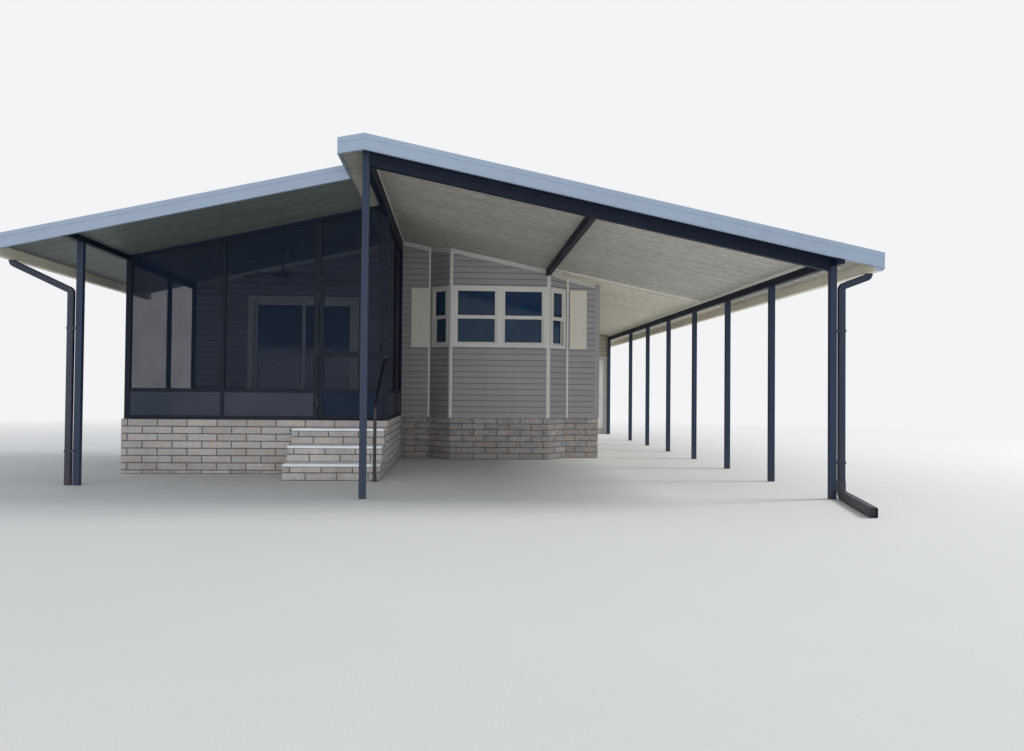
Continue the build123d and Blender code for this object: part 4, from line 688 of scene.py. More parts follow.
def weather_group():
    """Uneven tone, run-down streaks and a splashed foot over any base colour."""
    tree, given, out = new_group(
        "Weather",
        [
            ("Base", COLOUR, (0.5, 0.5, 0.5, 1)),
            ("Stain", COLOUR, (0.1, 0.09, 0.07, 1)),
            ("Patch", FLOAT, 1.5),
            ("Mottle", FLOAT, 0.12),
            ("Streaks", FLOAT, 0.3),
            ("Splash", FLOAT, 0.4),
        ],
        [("Colour", COLOUR), ("Wear", FLOAT), ("Relief", FLOAT)],
    )
    point = object_point(tree)
    broad = noise(tree, point, given["Patch"], 5.0)
    fine = noise(tree, point, 210.0, 3.0)
    uneven = maths(tree, "SUBTRACT", spread(tree, broad), 0.5)
    tone = maths(tree, "ADD", product(tree, uneven, given["Mottle"]), 1.0)
    speck = spread(tree, fine, 0.97, 1.03)
    varied = scaled(tree, given["Base"], product(tree, tone, speck))
    run = noise(tree, stretched(tree, point, (7.0, 7.0, 0.55)), 1.6, 6.0, 0.65)
    streak = product(tree, ramp(tree, run, 0.52, 0.78), given["Streaks"])
    height = split(tree, point)[2]
    near_ground = ramp(tree, height, 0.0, 0.32, 1.0, 0.0)
    blotch = ramp(tree, noise(tree, point, 9.0, 6.0, 0.7), 0.38, 0.62)
    splash = product(tree, near_ground, blotch, given["Splash"])
    wear = maths(tree, "MAXIMUM", streak, splash)
    tree.links.new(mixed(tree, wear, varied, given["Stain"]), out["Colour"])
    tree.links.new(wear, out["Wear"])
    tree.links.new(fine, out["Relief"])
    return tree


def enamel_group():
    """Baked enamel on sheet metal: orange peel and slow changes of gloss."""
    tree, given, out = new_group(
        "Enamel",
        [("Peel", FLOAT, 700.0), ("Gloss", FLOAT, 0.4), ("Spread", FLOAT, 0.12)],
        [("Roughness", FLOAT), ("Relief", FLOAT)],
    )
    point = object_point(tree)
    slow = maths(tree, "SUBTRACT", noise(tree, point, 3.5, 3.0), 0.5)
    rough = maths(tree, "ADD", given["Gloss"], product(tree, slow, given["Spread"]))
    dent = noise(tree, point, 5.0, 2.0)
    peel = product(tree, noise(tree, point, given["Peel"], 2.0), 0.05)
    tree.links.new(rough, out["Roughness"])
    tree.links.new(maths(tree, "ADD", dent, peel), out["Relief"])
    return tree


def emboss_group():
    """Pebbled sheet: raised cells lying aslant and long ripples, with painted shade that follows
    them, and a dark line at each pan joint.
    """
    tree, given, out = new_group(
        "Embossed sheet",
        [("Cell", FLOAT, 17.0), ("Ripple", FLOAT, 0.5), ("Joint", FLOAT, 0.2)],
        [("Relief", FLOAT), ("Shade and joints", FLOAT)],
    )
    point = object_point(tree)
    aslant = stretched(tree, point, (0.55, 1.3, 0.55), 0.5)
    cells = noise(tree, aslant, given["Cell"], 2.0, 0.5)
    ripple = noise(tree, stretched(tree, point, (0.35, 9.0, 0.35)), 1.0, 3.0)
    waves = product(tree, ripple, given["Ripple"])
    tree.links.new(maths(tree, "ADD", product(tree, cells, 0.8), waves), out["Relief"])
    away = from_line(tree, split(tree, point)[1], ROOF_FRONT, PAN)
    joint = product(tree, ramp(tree, away, 0.005, 0.014, 1.0, 0.0), given["Joint"])
    pale = maths(tree, "SUBTRACT", 1.0, joint)
    # Painted shade: the tone follows the cells and ripples that make the relief; the pan joints are
    # real dark lines
    cell_shade = spread(tree, cells, 0.76, 1.22)
    ripple_shade = spread(tree, ripple, 0.88, 1.1)
    tree.links.new(product(tree, cell_shade, ripple_shade, pale), out["Shade and joints"])
    return tree


def masonry_group():
    """Split block: pits with painted shade in them, grit and a drifting tone."""
    tree, given, out = new_group(
        "Masonry",
        [
            ("Base", COLOUR, (0.5, 0.45, 0.4, 1)),
            ("Blush", COLOUR, (0.5, 0.4, 0.3, 1)),
            ("Warmth", FLOAT, 0.0),
            ("Grit", FLOAT, 240.0),
            ("Drift", FLOAT, 0.2),
            ("Pits", FLOAT, 1.0),
        ],
        [("Colour", COLOUR), ("Relief", FLOAT)],
    )
    point = object_point(tree)
    grit = noise(tree, point, given["Grit"], 4.0, 0.7)
    cells = place(tree, "ShaderNodeTexVoronoi", {"Vector": point, "Scale": 95.0})
    smooth = maths(tree, "SUBTRACT", 1.0, given["Pits"])
    hollow = ramp(tree, cells.outputs["Distance"], 0.05, 0.32)
    pit = maths(tree, "MAXIMUM", hollow, smooth)
    drift = maths(tree, "SUBTRACT", noise(tree, point, 4.2, 5.0), 0.5)
    drifting = maths(tree, "ADD", product(tree, drift, given["Drift"]), 1.0)
    gritty = spread(tree, grit, 0.86, 1.1)
    # Painted shade: the colour darkens by up to a fifth in the pits that the relief sinks
    pit_shade = ramp(tree, pit, 0.0, 1.0, 0.8, 1.0)
    chip = maths(tree, "SUBTRACT", ramp(tree, noise(tree, point, 36.0, 3.0, 0.6), 0.34, 0.66), 0.5)
    chipped = maths(tree, "ADD", product(tree, chip, given["Pits"], 0.24), 1.0)
    tone = product(tree, drifting, gritty, pit_shade, chipped)
    patch = ramp(tree, noise(tree, point, 9.0, 5.0, 0.7), 0.42, 0.62)
    warm = mixed(tree, product(tree, patch, given["Warmth"]), given["Base"], given["Blush"])
    tree.links.new(scaled(tree, warm, tone), out["Colour"])
    relief = maths(tree, "ADD", product(tree, grit, 0.6), product(tree, pit, 0.5))
    tree.links.new(relief, out["Relief"])
    return tree


def weave_group():
    """Plain woven mesh: two sets of round threads, one along the screen and one up it."""
    tree, given, out = new_group(
        "Weave", [("Pitch", FLOAT, 0.0016)], [("Threads", FLOAT), ("Relief", FLOAT)]
    )
    part = split(tree, object_point(tree))
    along = maths(tree, "ADD", part[0], part[1])
    waves = []
    for run in (along, part[2]):
        turns = maths(tree, "DIVIDE", run, given["Pitch"])
        waves.append(maths(tree, "ABSOLUTE", maths(tree, "SINE", product(tree, turns, pi))))
    thread = maths(tree, "MAXIMUM", waves[0], waves[1])
    tree.links.new(ramp(tree, thread, 0.62, 0.8), out["Threads"])
    tree.links.new(product(tree, *waves), out["Relief"])
    return tree


def grain_group():
    """Wood grain that runs out along each blade of the fan, from rings stretched by the radius."""
    tree, given, out = new_group(
        "Grain",
        [("Base", COLOUR, (0.1, 0.06, 0.04, 1)), ("Lines", FLOAT, 60.0)],
        [("Colour", COLOUR), ("Relief", FLOAT)],
    )
    centred = {0: object_point(tree), 1: (FAN_X, FAN_Y, 0.0)}
    centre = place(tree, "ShaderNodeVectorMath", centred, operation="SUBTRACT").outputs[0]
    part = split(tree, centre)
    turn = maths(tree, "ARCTAN2", part[1], part[0])
    reach = distance(tree, centre)
    ring = {0: product(tree, turn, reach), 1: product(tree, reach, 0.08)}
    polar = place(tree, "ShaderNodeCombineXYZ", ring).outputs[0]
    line = noise(tree, polar, given["Lines"], 5.0, 0.6)
    tree.links.new(scaled(tree, given["Base"], spread(tree, line, 0.6, 1.35)), out["Colour"])
    tree.links.new(line, out["Relief"])
    return tree


GROUP_MAKERS = {
    "weather": weather_group,
    "enamel": enamel_group,
    "emboss": emboss_group,
    "masonry": masonry_group,
    "weave": weave_group,
    "grain": grain_group,
}
groups = {}
finishes = {}


def use(tree, name, inputs=None):
    """Places a shader group in a material, making it the first time, and returns its outputs."""
    if name not in groups:
        groups[name] = GROUP_MAKERS[name]()
    return place(tree, "ShaderNodeGroup", inputs, node_tree=groups[name]).outputs


def solid(colour_value):
    """Colour with its alpha."""
    return (*colour_value, 1.0)


def weathered(tree, base, stain=None, **amounts):
    """Weather over a base colour; the amounts are the group's inputs by name."""
    inputs = {"Base": base, "Stain": solid(stain or shades().dirt), **amounts}
    return use(tree, "weather", inputs)


def start_material(name):
    """Empty material with a Principled shader: the tree and the shader."""
    material = bpy.data.materials.new(name)
    material.use_nodes = True
    tree = material.node_tree
    return material, tree, tree.nodes["Principled BSDF"]


def coat(tree, shader, base, roughness, height, strength, depth):
    """Gives a shader its colour and roughness, and relief from a height on its Normal."""
    tree.links.new(base, shader.inputs["Base Color"])
    tree.links.new(roughness, shader.inputs["Roughness"])
    relief = {"Strength": strength, "Distance": depth, "Height": height}
    node = place(tree, "ShaderNodeBump", relief)
    tree.links.new(node.outputs[0], shader.inputs["Normal"])


def painted(name, base, gloss, mottle, streaks, splash, stain=None, relief=0.0012, shine=0.5):
    """Enamelled metal, plastic or wood with weather on it."""
    material, tree, shader = start_material(name)
    weather = weathered(tree, solid(base), stain, Mottle=mottle, Streaks=streaks, Splash=splash)
    enamel = use(tree, "enamel", {"Gloss": gloss})
    shader.inputs["Specular IOR Level"].default_value = shine
    rough = maths(tree, "ADD", enamel["Roughness"], product(tree, weather["Wear"], 0.3))
    coat(tree, shader, weather["Colour"], rough, enamel["Relief"], 0.35, relief)
    return material


def roof_finish(name, underside):
    """Roof pans: pebbled sheet below, weathered enamel above, told by the way a face points."""
    colours = shades()
    material, tree, shader = start_material(name)
    sheet = use(tree, "emboss")
    below = ramp(tree, facing_way(tree)[2], -0.5, -0.3, 1.0, 0.0)
    ceiling = weathered(tree, solid(underside), Patch=0.7, Mottle=0.16, Streaks=0.05, Splash=0.0)
    top = weathered(tree, solid(colours.roof), Patch=0.9, Mottle=0.16, Streaks=0.0, Splash=0.0)
    run = stretched(tree, object_point(tree), (0.25, 2.2, 0.25))
    grime = ramp(tree, noise(tree, run, 3.0, 6.0, 0.7), 0.5, 0.8, 0.0, 0.5)
    dusty = mixed(tree, grime, top["Colour"], solid(colours.dirt))
    # Underside colour times the emboss's painted shade and the dark pan joints
    toned_and_shaded = scaled(tree, ceiling["Colour"], sheet["Shade and joints"])
    enamel = use(tree, "enamel", {"Gloss": 0.5, "Spread": 0.2})
    both = mixed(tree, below, dusty, toned_and_shaded)
    coat(tree, shader, both, enamel["Roughness"], sheet["Relief"], 0.5, 0.003)
    return material


def gutter_finish():
    """Gutters: fascia enamel outside, and a lighter cream on the faces that look in or down, painted
    bounce light.
    """
    colours = shades()
    material, tree, shader = start_material("gutter_enamel")
    normal = facing_way(tree)
    side = maths(tree, "SIGN", split(tree, object_point(tree))[0])
    inward = product(tree, normal[0], product(tree, side, -1.0))
    down = product(tree, normal[2], -1.0)
    # Painted light: faces that look inward or down take a lighter cream, for the light bounced up
    # into them
    lit_faces = ramp(tree, maths(tree, "MAXIMUM", inward, down), 0.4, 0.6)
    base = mixed(tree, lit_faces, solid(colours.fascia), solid(colours.lit_gutter_lining))
    weather = weathered(tree, base, Mottle=0.12, Streaks=0.12, Splash=0.0)
    enamel = use(tree, "enamel", {"Gloss": 0.45, "Spread": 0.15})
    coat(tree, shader, weather["Colour"], enamel["Roughness"], enamel["Relief"], 0.35, 0.0012)
    return material


FRIEZE_BAND = ((0.014, 0.016), (0.05, 0.052))
BAND_SHADE = 0.45
CORNER_BOARD = (0.08, 0.079)


def wall_trim_finish():
    """Frieze in two pale lines with the siding's tone between as painted shade between the raised
    lines; the right corner board has the siding's tone as its own colour.

    The distance below the ceiling is the ridge height less the fall times |X| less the height.
    """
    colours = shades()
    material, tree, shader = start_material("wall_trim_vinyl")
    part = split(tree, object_point(tree))
    fall = ramp(tree, part[0], -0.001, 0.001, LEFT_FALL, RIGHT_FALL)
    drop = product(tree, maths(tree, "ABSOLUTE", part[0]), fall)
    below = maths(tree, "SUBTRACT", maths(tree, "SUBTRACT", RIDGE_Z, drop), part[2])
    # Painted shade: the band between the two raised lines is mixed part way to the siding's colour
    under_first = ramp(tree, below, *FRIEZE_BAND[0], 0.0, BAND_SHADE)
    over_second = ramp(tree, below, *FRIEZE_BAND[1], 1.0, 0.0)
    corner = ramp(tree, part[0], *(HOME_RIGHT - wide for wide in CORNER_BOARD))
    plain = maths(tree, "MAXIMUM", product(tree, under_first, over_second), corner)
    base = mixed(tree, plain, solid(colours.trim), solid(colours.siding))
    weather = weathered(tree, base, Mottle=0.06, Streaks=0.1, Splash=0.2)
    enamel = use(tree, "enamel", {"Gloss": 0.42, "Spread": 0.12})
    coat(tree, shader, weather["Colour"], enamel["Roughness"], enamel["Relief"], 0.35, 0.001)
    return material


WALL_SKIN = (0.002, 0.001)


def wall_finish():
    """Wall slabs: siding colour outside and plain lining on the inner faces."""
    colours = shades()
    material, tree, shader = start_material("wall_board")
    part = split(tree, object_point(tree))
    behind = ramp(tree, part[1], *(WALL_BACK - skin for skin in WALL_SKIN))
    left_of = ramp(tree, part[0], *(HOME_RIGHT - skin for skin in WALL_SKIN), 1.0, 0.0)
    outer = weathered(tree, solid(colours.siding), Streaks=0.2, Splash=0.2)
    inner = weathered(tree, solid(colours.lining), Mottle=0.06, Streaks=0.05, Splash=0.1)
    inside = product(tree, behind, left_of)
    base = mixed(tree, inside, outer["Colour"], inner["Colour"])
    rough = spread(tree, outer["Relief"], 0.6, 0.75)
    coat(tree, shader, base, rough, outer["Relief"], 0.3, 0.0008)
    return material


def siding_finish(name, base):
    """Vinyl siding: faint grain along each lap, its own tone and a painted shadow line under each
    butt.
    """
    material, tree, shader = start_material(name)
    point = object_point(tree)
    weather = weathered(tree, solid(base), Patch=1.1, Mottle=0.1, Streaks=0.12, Splash=0.3)
    grain = noise(tree, stretched(tree, point, (6.0, 6.0, 160.0)), 2.2, 4.0, 0.6)
    height = maths(tree, "SUBTRACT", split(tree, point)[2], SIDING_FOOT)
    turns = maths(tree, "DIVIDE", height, sizes().lap)
    up_lap = maths(tree, "FRACT", maths(tree, "ADD", turns, 100.0))
    # Painted shadow: each lap darkens to 0.45 just under the butt of the course above
    butt_shadow = ramp(tree, up_lap, 0.8, 0.93, 1.0, 0.45)
    tone = product(tree, own_tone(tree), spread(tree, grain, 0.94, 1.06), butt_shadow)
    toned_and_shaded = scaled(tree, weather["Colour"], tone)
    coat(tree, shader, toned_and_shaded, spread(tree, grain, 0.45, 0.6), grain, 0.4, 0.0009)
    return material


def block_finish(name, base, own=False):
    """Split block or mortar, splashed at the foot; own gives each block its tone and blush."""
    material, tree, shader = start_material(name)
    blush = {"Blush": solid(shades().blush), "Warmth": 0.55 if own else 0.0}
    rock = use(tree, "masonry", {"Base": solid(base), **blush})
    stone = scaled(tree, rock["Colour"], own_tone(tree)) if own else rock["Colour"]
    weather = weathered(tree, stone, Patch=2.4, Mottle=0.16, Streaks=0.12, Splash=0.4)
    rough = ramp(tree, rock["Relief"], 0.2, 0.9, 0.96, 0.82)
    coat(tree, shader, weather["Colour"], rough, rock["Relief"], 0.7, 0.003)
    return material


def slab_finish(name, base, gloss):
    """Trowelled or cast concrete."""
    material, tree, shader = start_material(name)
    rock = use(tree, "masonry", {"Base": solid(base), "Grit": 420.0, "Drift": 0.14, "Pits": 0.25})
    weather = weathered(tree, rock["Colour"], Patch=1.8, Mottle=0.08, Streaks=0.08, Splash=0.25)
    rough = spread(tree, weather["Relief"], gloss, gloss + 0.15)
    coat(tree, shader, weather["Colour"], rough, rock["Relief"], 0.35, 0.0012)
    return material


def screen_finish():
    """Insect mesh: dark threads with open squares between them and dust in patches.

    Up to the top of the kick panels the door carries a closed panel in place of the mesh.
    """
    colours = shades()
    material, tree, shader = start_material("insect_mesh")
    point = object_point(tree)
    weave = use(tree, "weave")
    dust = ramp(tree, noise(tree, point, 2.0, 5.0), 0.35, 0.7)
    mesh = mixed(tree, product(tree, dust, 0.12), solid(colours.mesh), solid(colours.dirt))
    panel = ramp(tree, split(tree, point)[2], KICK_TOP - 0.001, KICK_TOP, 1.0, 0.0)
    threads = ramp(tree, weave["Threads"], 0.0, 1.0, 0.24, 0.46)
    cover = maths(tree, "ADD", threads, product(tree, dust, 0.05))
    tree.links.new(maths(tree, "MAXIMUM", cover, panel), shader.inputs["Alpha"])
    shader.inputs["Specular IOR Level"].default_value = 0.15
    base = mixed(tree, panel, mesh, solid(colours.kick))
    rough = ramp(tree, dust, 0.0, 1.0, 0.6, 0.8)
    coat(tree, shader, base, rough, weave["Relief"], 0.2, 0.0004)
    return material


def glass_finish():
    """Dark pane, its blue partly a painted reflection of dark surroundings, with a film of dust and
    run marks.
    """
    colours = shades()
    material, tree, shader = start_material("pane")
    point = object_point(tree)
    runs = noise(tree, stretched(tree, point, (5.0, 5.0, 1.2)), 2.0, 5.0)
    film = ramp(tree, runs, 0.4, 0.75)
    base = mixed(tree, product(tree, film, 0.1), solid(colours.glass), solid(colours.dirt))
    rough = ramp(tree, film, 0.0, 1.0, 0.04, 0.12)
    shader.inputs["Alpha"].default_value = 0.94
    shader.inputs["Specular IOR Level"].default_value = 0.3
    coat(tree, shader, base, rough, noise(tree, point, 1.6, 1.0), 0.06, 0.01)
    return material


def fan_finish():
    """Stained blades and motor shell."""
    material, tree, shader = start_material("fan")
    grain = use(tree, "grain", {"Base": solid(shades().fan)})
    rough = spread(tree, grain["Relief"], 0.32, 0.46)
    coat(tree, shader, grain["Colour"], rough, grain["Relief"], 0.2, 0.0006)
    return material


def make_finishes():
    """Every material, by name; painted ones give their gloss, mottle, streaks and splash."""
    colours = shades()
    rust = colours.rust
    finishes.update(
        roof=roof_finish("roof_pans", colours.ceiling),
        # Side roof's underside in its painted-light colour
        side_roof=roof_finish("side_roof_pans", colours.lit_strip_ceiling),
        # Porch roof's underside in its painted-shade colour
        porch_roof=roof_finish("porch_roof_pans", colours.shaded_porch_ceiling),
        # Fascia enamel in its painted-shade colour
        fascia=painted("shaded_fascia_enamel", colours.fascia, 0.42, 0.06, 0.08, 0.0),
        gutter=gutter_finish(),
        # Posts and beams: one bronze, both with painted shade, the beams darker
        frame=painted("shaded_post_enamel", colours.frame, 0.5, 0.14, 0.1, 0.3, shine=0.3),
        beam=painted("shaded_bronze_enamel", colours.beam, 0.55, 0.14, 0.06, 0.2, shine=0.2),
        kick=painted("kick_sheet", colours.kick, 0.4, 0.18, 0.1, 0.0, relief=0.004, shine=0.25),
        spout=painted("spout_enamel", colours.spout, 0.46, 0.16, 0.14, 0.5, rust, shine=0.4),
        rail=painted("black_enamel", colours.rail, 0.4, 0.12, 0.1, 0.35, rust, shine=0.35),
        wall=wall_finish(),
        siding=siding_finish("siding", colours.siding),
        room_siding=siding_finish("room_siding", colours.room_siding),
        trim=painted("trim_vinyl", colours.trim, 0.4, 0.05, 0.1, 0.2),
        wall_trim=wall_trim_finish(),
        strip=painted("strip_vinyl", colours.strip, 0.45, 0.05, 0.05, 0.0),
        shutter=painted("shutter_vinyl", colours.shutter, 0.46, 0.06, 0.1, 0.0),
        door=painted("door_paint", colours.door, 0.4, 0.05, 0.1, 0.4),
        mortar=block_finish("mortar", colours.mortar),
        block=block_finish("block_face", colours.block, own=True),
        # Blocks under the siding, darker than the porch's as painted shade
        skirting=block_finish("shaded_skirting_face", colours.skirting, own=True),
        tread=slab_finish("tread_cap", colours.tread, 0.55),
        slab=slab_finish("slab", colours.floor, 0.6),
        screen=screen_finish(),
        glass=glass_finish(),
        fan=fan_finish(),
        rubber=painted("rubber", colours.rubber, 0.6, 0.1, 0.1, 0.2),
        steel=painted("screw_steel", colours.trim, 0.3, 0.1, 0.3, 0.3, rust),
    )


NODE_FINISH = {
    "roof": ("carport_roof",),
    "side_roof": ("side_roof",),
    "porch_roof": ("porch_roof",),
    "fascia": ("front_fascia", "porch_fascia"),
    "gutter": ("gutters",),
    "wall_trim": ("wall_trim",),
    "frame": ("front_ridge_post", "side_posts", "porch_post"),
    "beam": (
        "front_beam",
        "ridge_beam",
        "middle_beam",
        "side_beam",
        "porch_beam",
        "front_screen_frame",
        "over_door_frame",
        "side_screen_frames",
        "screen_door",
    ),
    "kick": ("kick_panels",),
    "spout": ("downspouts",),
    "rail": ("handrail", "screen_door_hinges", "room_door_hinges", "fan_mount"),
    "fan": ("fan_blades",),
    "mortar": (
        "front_block_wall",
        "side_block_walls",
        "block_steps",
        "end_skirting",
        "side_skirting",
    ),
    "tread": ("step_treads",),
    "slab": ("porch_floor", "room_floor"),
    "wall": (
        "end_wall_left",
        "over_slider_wall",
        "end_wall_middle",
        "end_wall_right",
        "bay_front_wall",
        "bay_side_walls",
        "side_wall",
        "room_front_wall",
        "over_room_door",
        "room_side_wall",
        "room_rear_wall",
    ),
    "trim": (
        "bay_window_frame",
        "side_window_frames",
        "slider_frame",
        "fixed_panel",
        "sliding_panel",
    ),
    "shutter": ("shutters",),
    "glass": ("window_glass", "fixed_glass", "sliding_glass"),
    "screen": ("insect_screens", "door_infill"),
    "door": ("room_door",),
}


class CARPORT_OT_finishes(bpy.types.Operator):
    """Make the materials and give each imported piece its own"""

    bl_idname = "carport.finishes"
    bl_label = "Finishes"

    def execute(self, context):
        make_finishes()
        for finish, names in NODE_FINISH.items():
            for name in names:
                mesh = frame["nodes"][name].data
                mesh.materials.clear()
                mesh.materials.append(finishes[finish])
        return {"FINISHED"}


# ---- camera, floor and light

CAMERA_AT = (1.026, -9.155, 1.196)
CAMERA_TURNS = (3.797, 1.067, 0.527)
FOCAL_PIXELS = 824.84
FRAME_PIXELS = 1024
SENSOR = 36.0
FAR_CLIP = 400.0
FLOOR_MIDDLE = 6.0
FLOOR_DROP = -0.002
FADE_START = 9.0
FADE_END = 26.0
AMBIENT = (0.63, 0.67, 0.72, 1.0)
LAMPS = (
    ("key", (26.0, 3.0, 19.5), (3.0, 6.0, 0.0), (8.0, 8.0), 6000.0),
    ("fill", (-4.0, -18.0, 1.7), (0.0, 4.0, 1.8), (22.0, 2.6), 1150.0),
)


class CARPORT_OT_stage(bpy.types.Operator):
    """Camera at the photograph's viewpoint, a pale floor and soft studio light"""

    bl_idname = "carport.stage"
    bl_label = "Stage"

    def execute(self, context):
        scene = context.scene
        scene.view_settings.view_transform = "Standard"
        self.camera(scene)
        self.floor(scene)
        self.light(scene)
        return {"FINISHED"}

    def camera(self, scene):
        """Camera from its place, its yaw, pitch and roll in degrees and its focal length."""
        yaw, pitch, roll = (radians(angle) for angle in CAMERA_TURNS)
        ahead = Vector((sin(yaw) * cos(pitch), cos(yaw) * cos(pitch), sin(pitch)))
        side = Vector((cos(yaw), -sin(yaw), 0))
        above = side.cross(ahead)
        right = cos(roll) * side + sin(roll) * above
        top = cos(roll) * above - sin(roll) * side
        lens = bpy.data.cameras.new("camera")
        lens.sensor_width = SENSOR
        lens.lens = FOCAL_PIXELS / FRAME_PIXELS * SENSOR
        lens.clip_end = FAR_CLIP
        camera = bpy.data.objects.new("camera", lens)
        turned = Matrix((right, top, -ahead)).transposed().to_4x4()
        camera.matrix_world = Matrix.Translation(CAMERA_AT) @ turned
        scene.collection.objects.link(camera)
        scene.camera = camera

    def floor(self, scene):
        """Flat sheet a hair below the posts' feet, fading to the backdrop for the camera."""
        u = np.linspace(-1, 1, 5) * sizes().floor
        x, y = np.meshgrid(u, u, indexing="ij")
        points = np.stack((x, y + FLOOR_MIDDLE, np.full_like(x, FLOOR_DROP)), -1)[None]
        flat, quads = patches(points, UP[None])
        material, tree, shader = start_material("studio_floor")
        colours = shades()
        tones = {"Patch": 0.5, "Mottle": 0.03, "Streaks": 0.0, "Splash": 0.0}
        weather = weathered(tree, solid(colours.ground), colours.ground, **tones)
        tree.links.new(weather["Colour"], shader.inputs["Base Color"])
        shader.inputs["Roughness"].default_value = 0.85
        shader.inputs["Specular IOR Level"].default_value = 0.2
        away = ramp(tree, distance(tree, object_point(tree)), FADE_START, FADE_END)
        seen = tree.nodes.new("ShaderNodeLightPath").outputs["Is Camera Ray"]
        glow = place(tree, "ShaderNodeEmission", {"Color": solid(colours.backdrop)}).outputs[0]
        shown = {0: product(tree, away, seen), 1: shader.outputs[0], 2: glow}
        blend = place(tree, "ShaderNodeMixShader", shown).outputs[0]
        tree.links.new(blend, tree.nodes["Material Output"].inputs["Surface"])
        mesh = bpy.data.meshes.new("studio_floor")
        mesh.from_pydata(flat.tolist(), [], quads.tolist())
        mesh.materials.append(material)
        floor = bpy.data.objects.new("studio_floor", mesh)
        scene.collection.objects.link(floor)

    def light(self, scene):
        """Pale surroundings, a soft lamp high on the right and a low broad one in front."""
        world = bpy.data.worlds.new("studio")
        scene.world = world
        world.use_nodes = True
        tree = world.node_tree
        tree.nodes.clear()
        paths = tree.nodes.new("ShaderNodeLightPath").outputs
        shown = maths(tree, "MAXIMUM", paths["Is Camera Ray"], paths["Is Transmission Ray"])
        around = mixed(tree, shown, AMBIENT, solid(shades().backdrop))
        back = place(tree, "ShaderNodeBackground", {"Color": around}).outputs[0]
        place(tree, "ShaderNodeOutputWorld", {0: back})
        for name, spot, aim, size, power in LAMPS:
            lamp = bpy.data.lights.new(name, "AREA")
            lamp.shape = "RECTANGLE"
            lamp.size, lamp.size_y = size
            lamp.energy = power
            holder = bpy.data.objects.new(name, lamp)
            holder.location = spot
            ray = Vector(aim) - Vector(spot)
            holder.rotation_euler = ray.to_track_quat("-Z", "Y").to_euler()
            scene.collection.objects.link(holder)


# ---- pieces

PRISM_FACES = 6
BLOCK_FACES = 48
LAP_SPREAD = 0.04
BLOCK_SPREAD = 0.11


def wall_front(y):
    """Face of a wall that looks to the front, with s equal to X."""
    return Wall((0, y, 0), (1, 0, 0), TO_FRONT)


def wall_side(x, out):
    """Face of a wall that looks to the right where out is 1, or to the left, with s equal to Y."""
    return Wall((x, 0, 0), (0, 1, 0), (out, 0, 0))


def bay_side(right, setback=0.0):
    """Face of an angled bay wall, s running from the end wall out to the bay's front corner."""
    bend = setback * BEND
    y = WALL_FRONT + setback
    if right:
        return Wall((BAY_RIGHT - bend, y, 0), (-1, -1, 0), (1, -1, 0))
    return Wall((BAY_LEFT + bend, y, 0), (1, -1, 0), (-1, -1, 0))


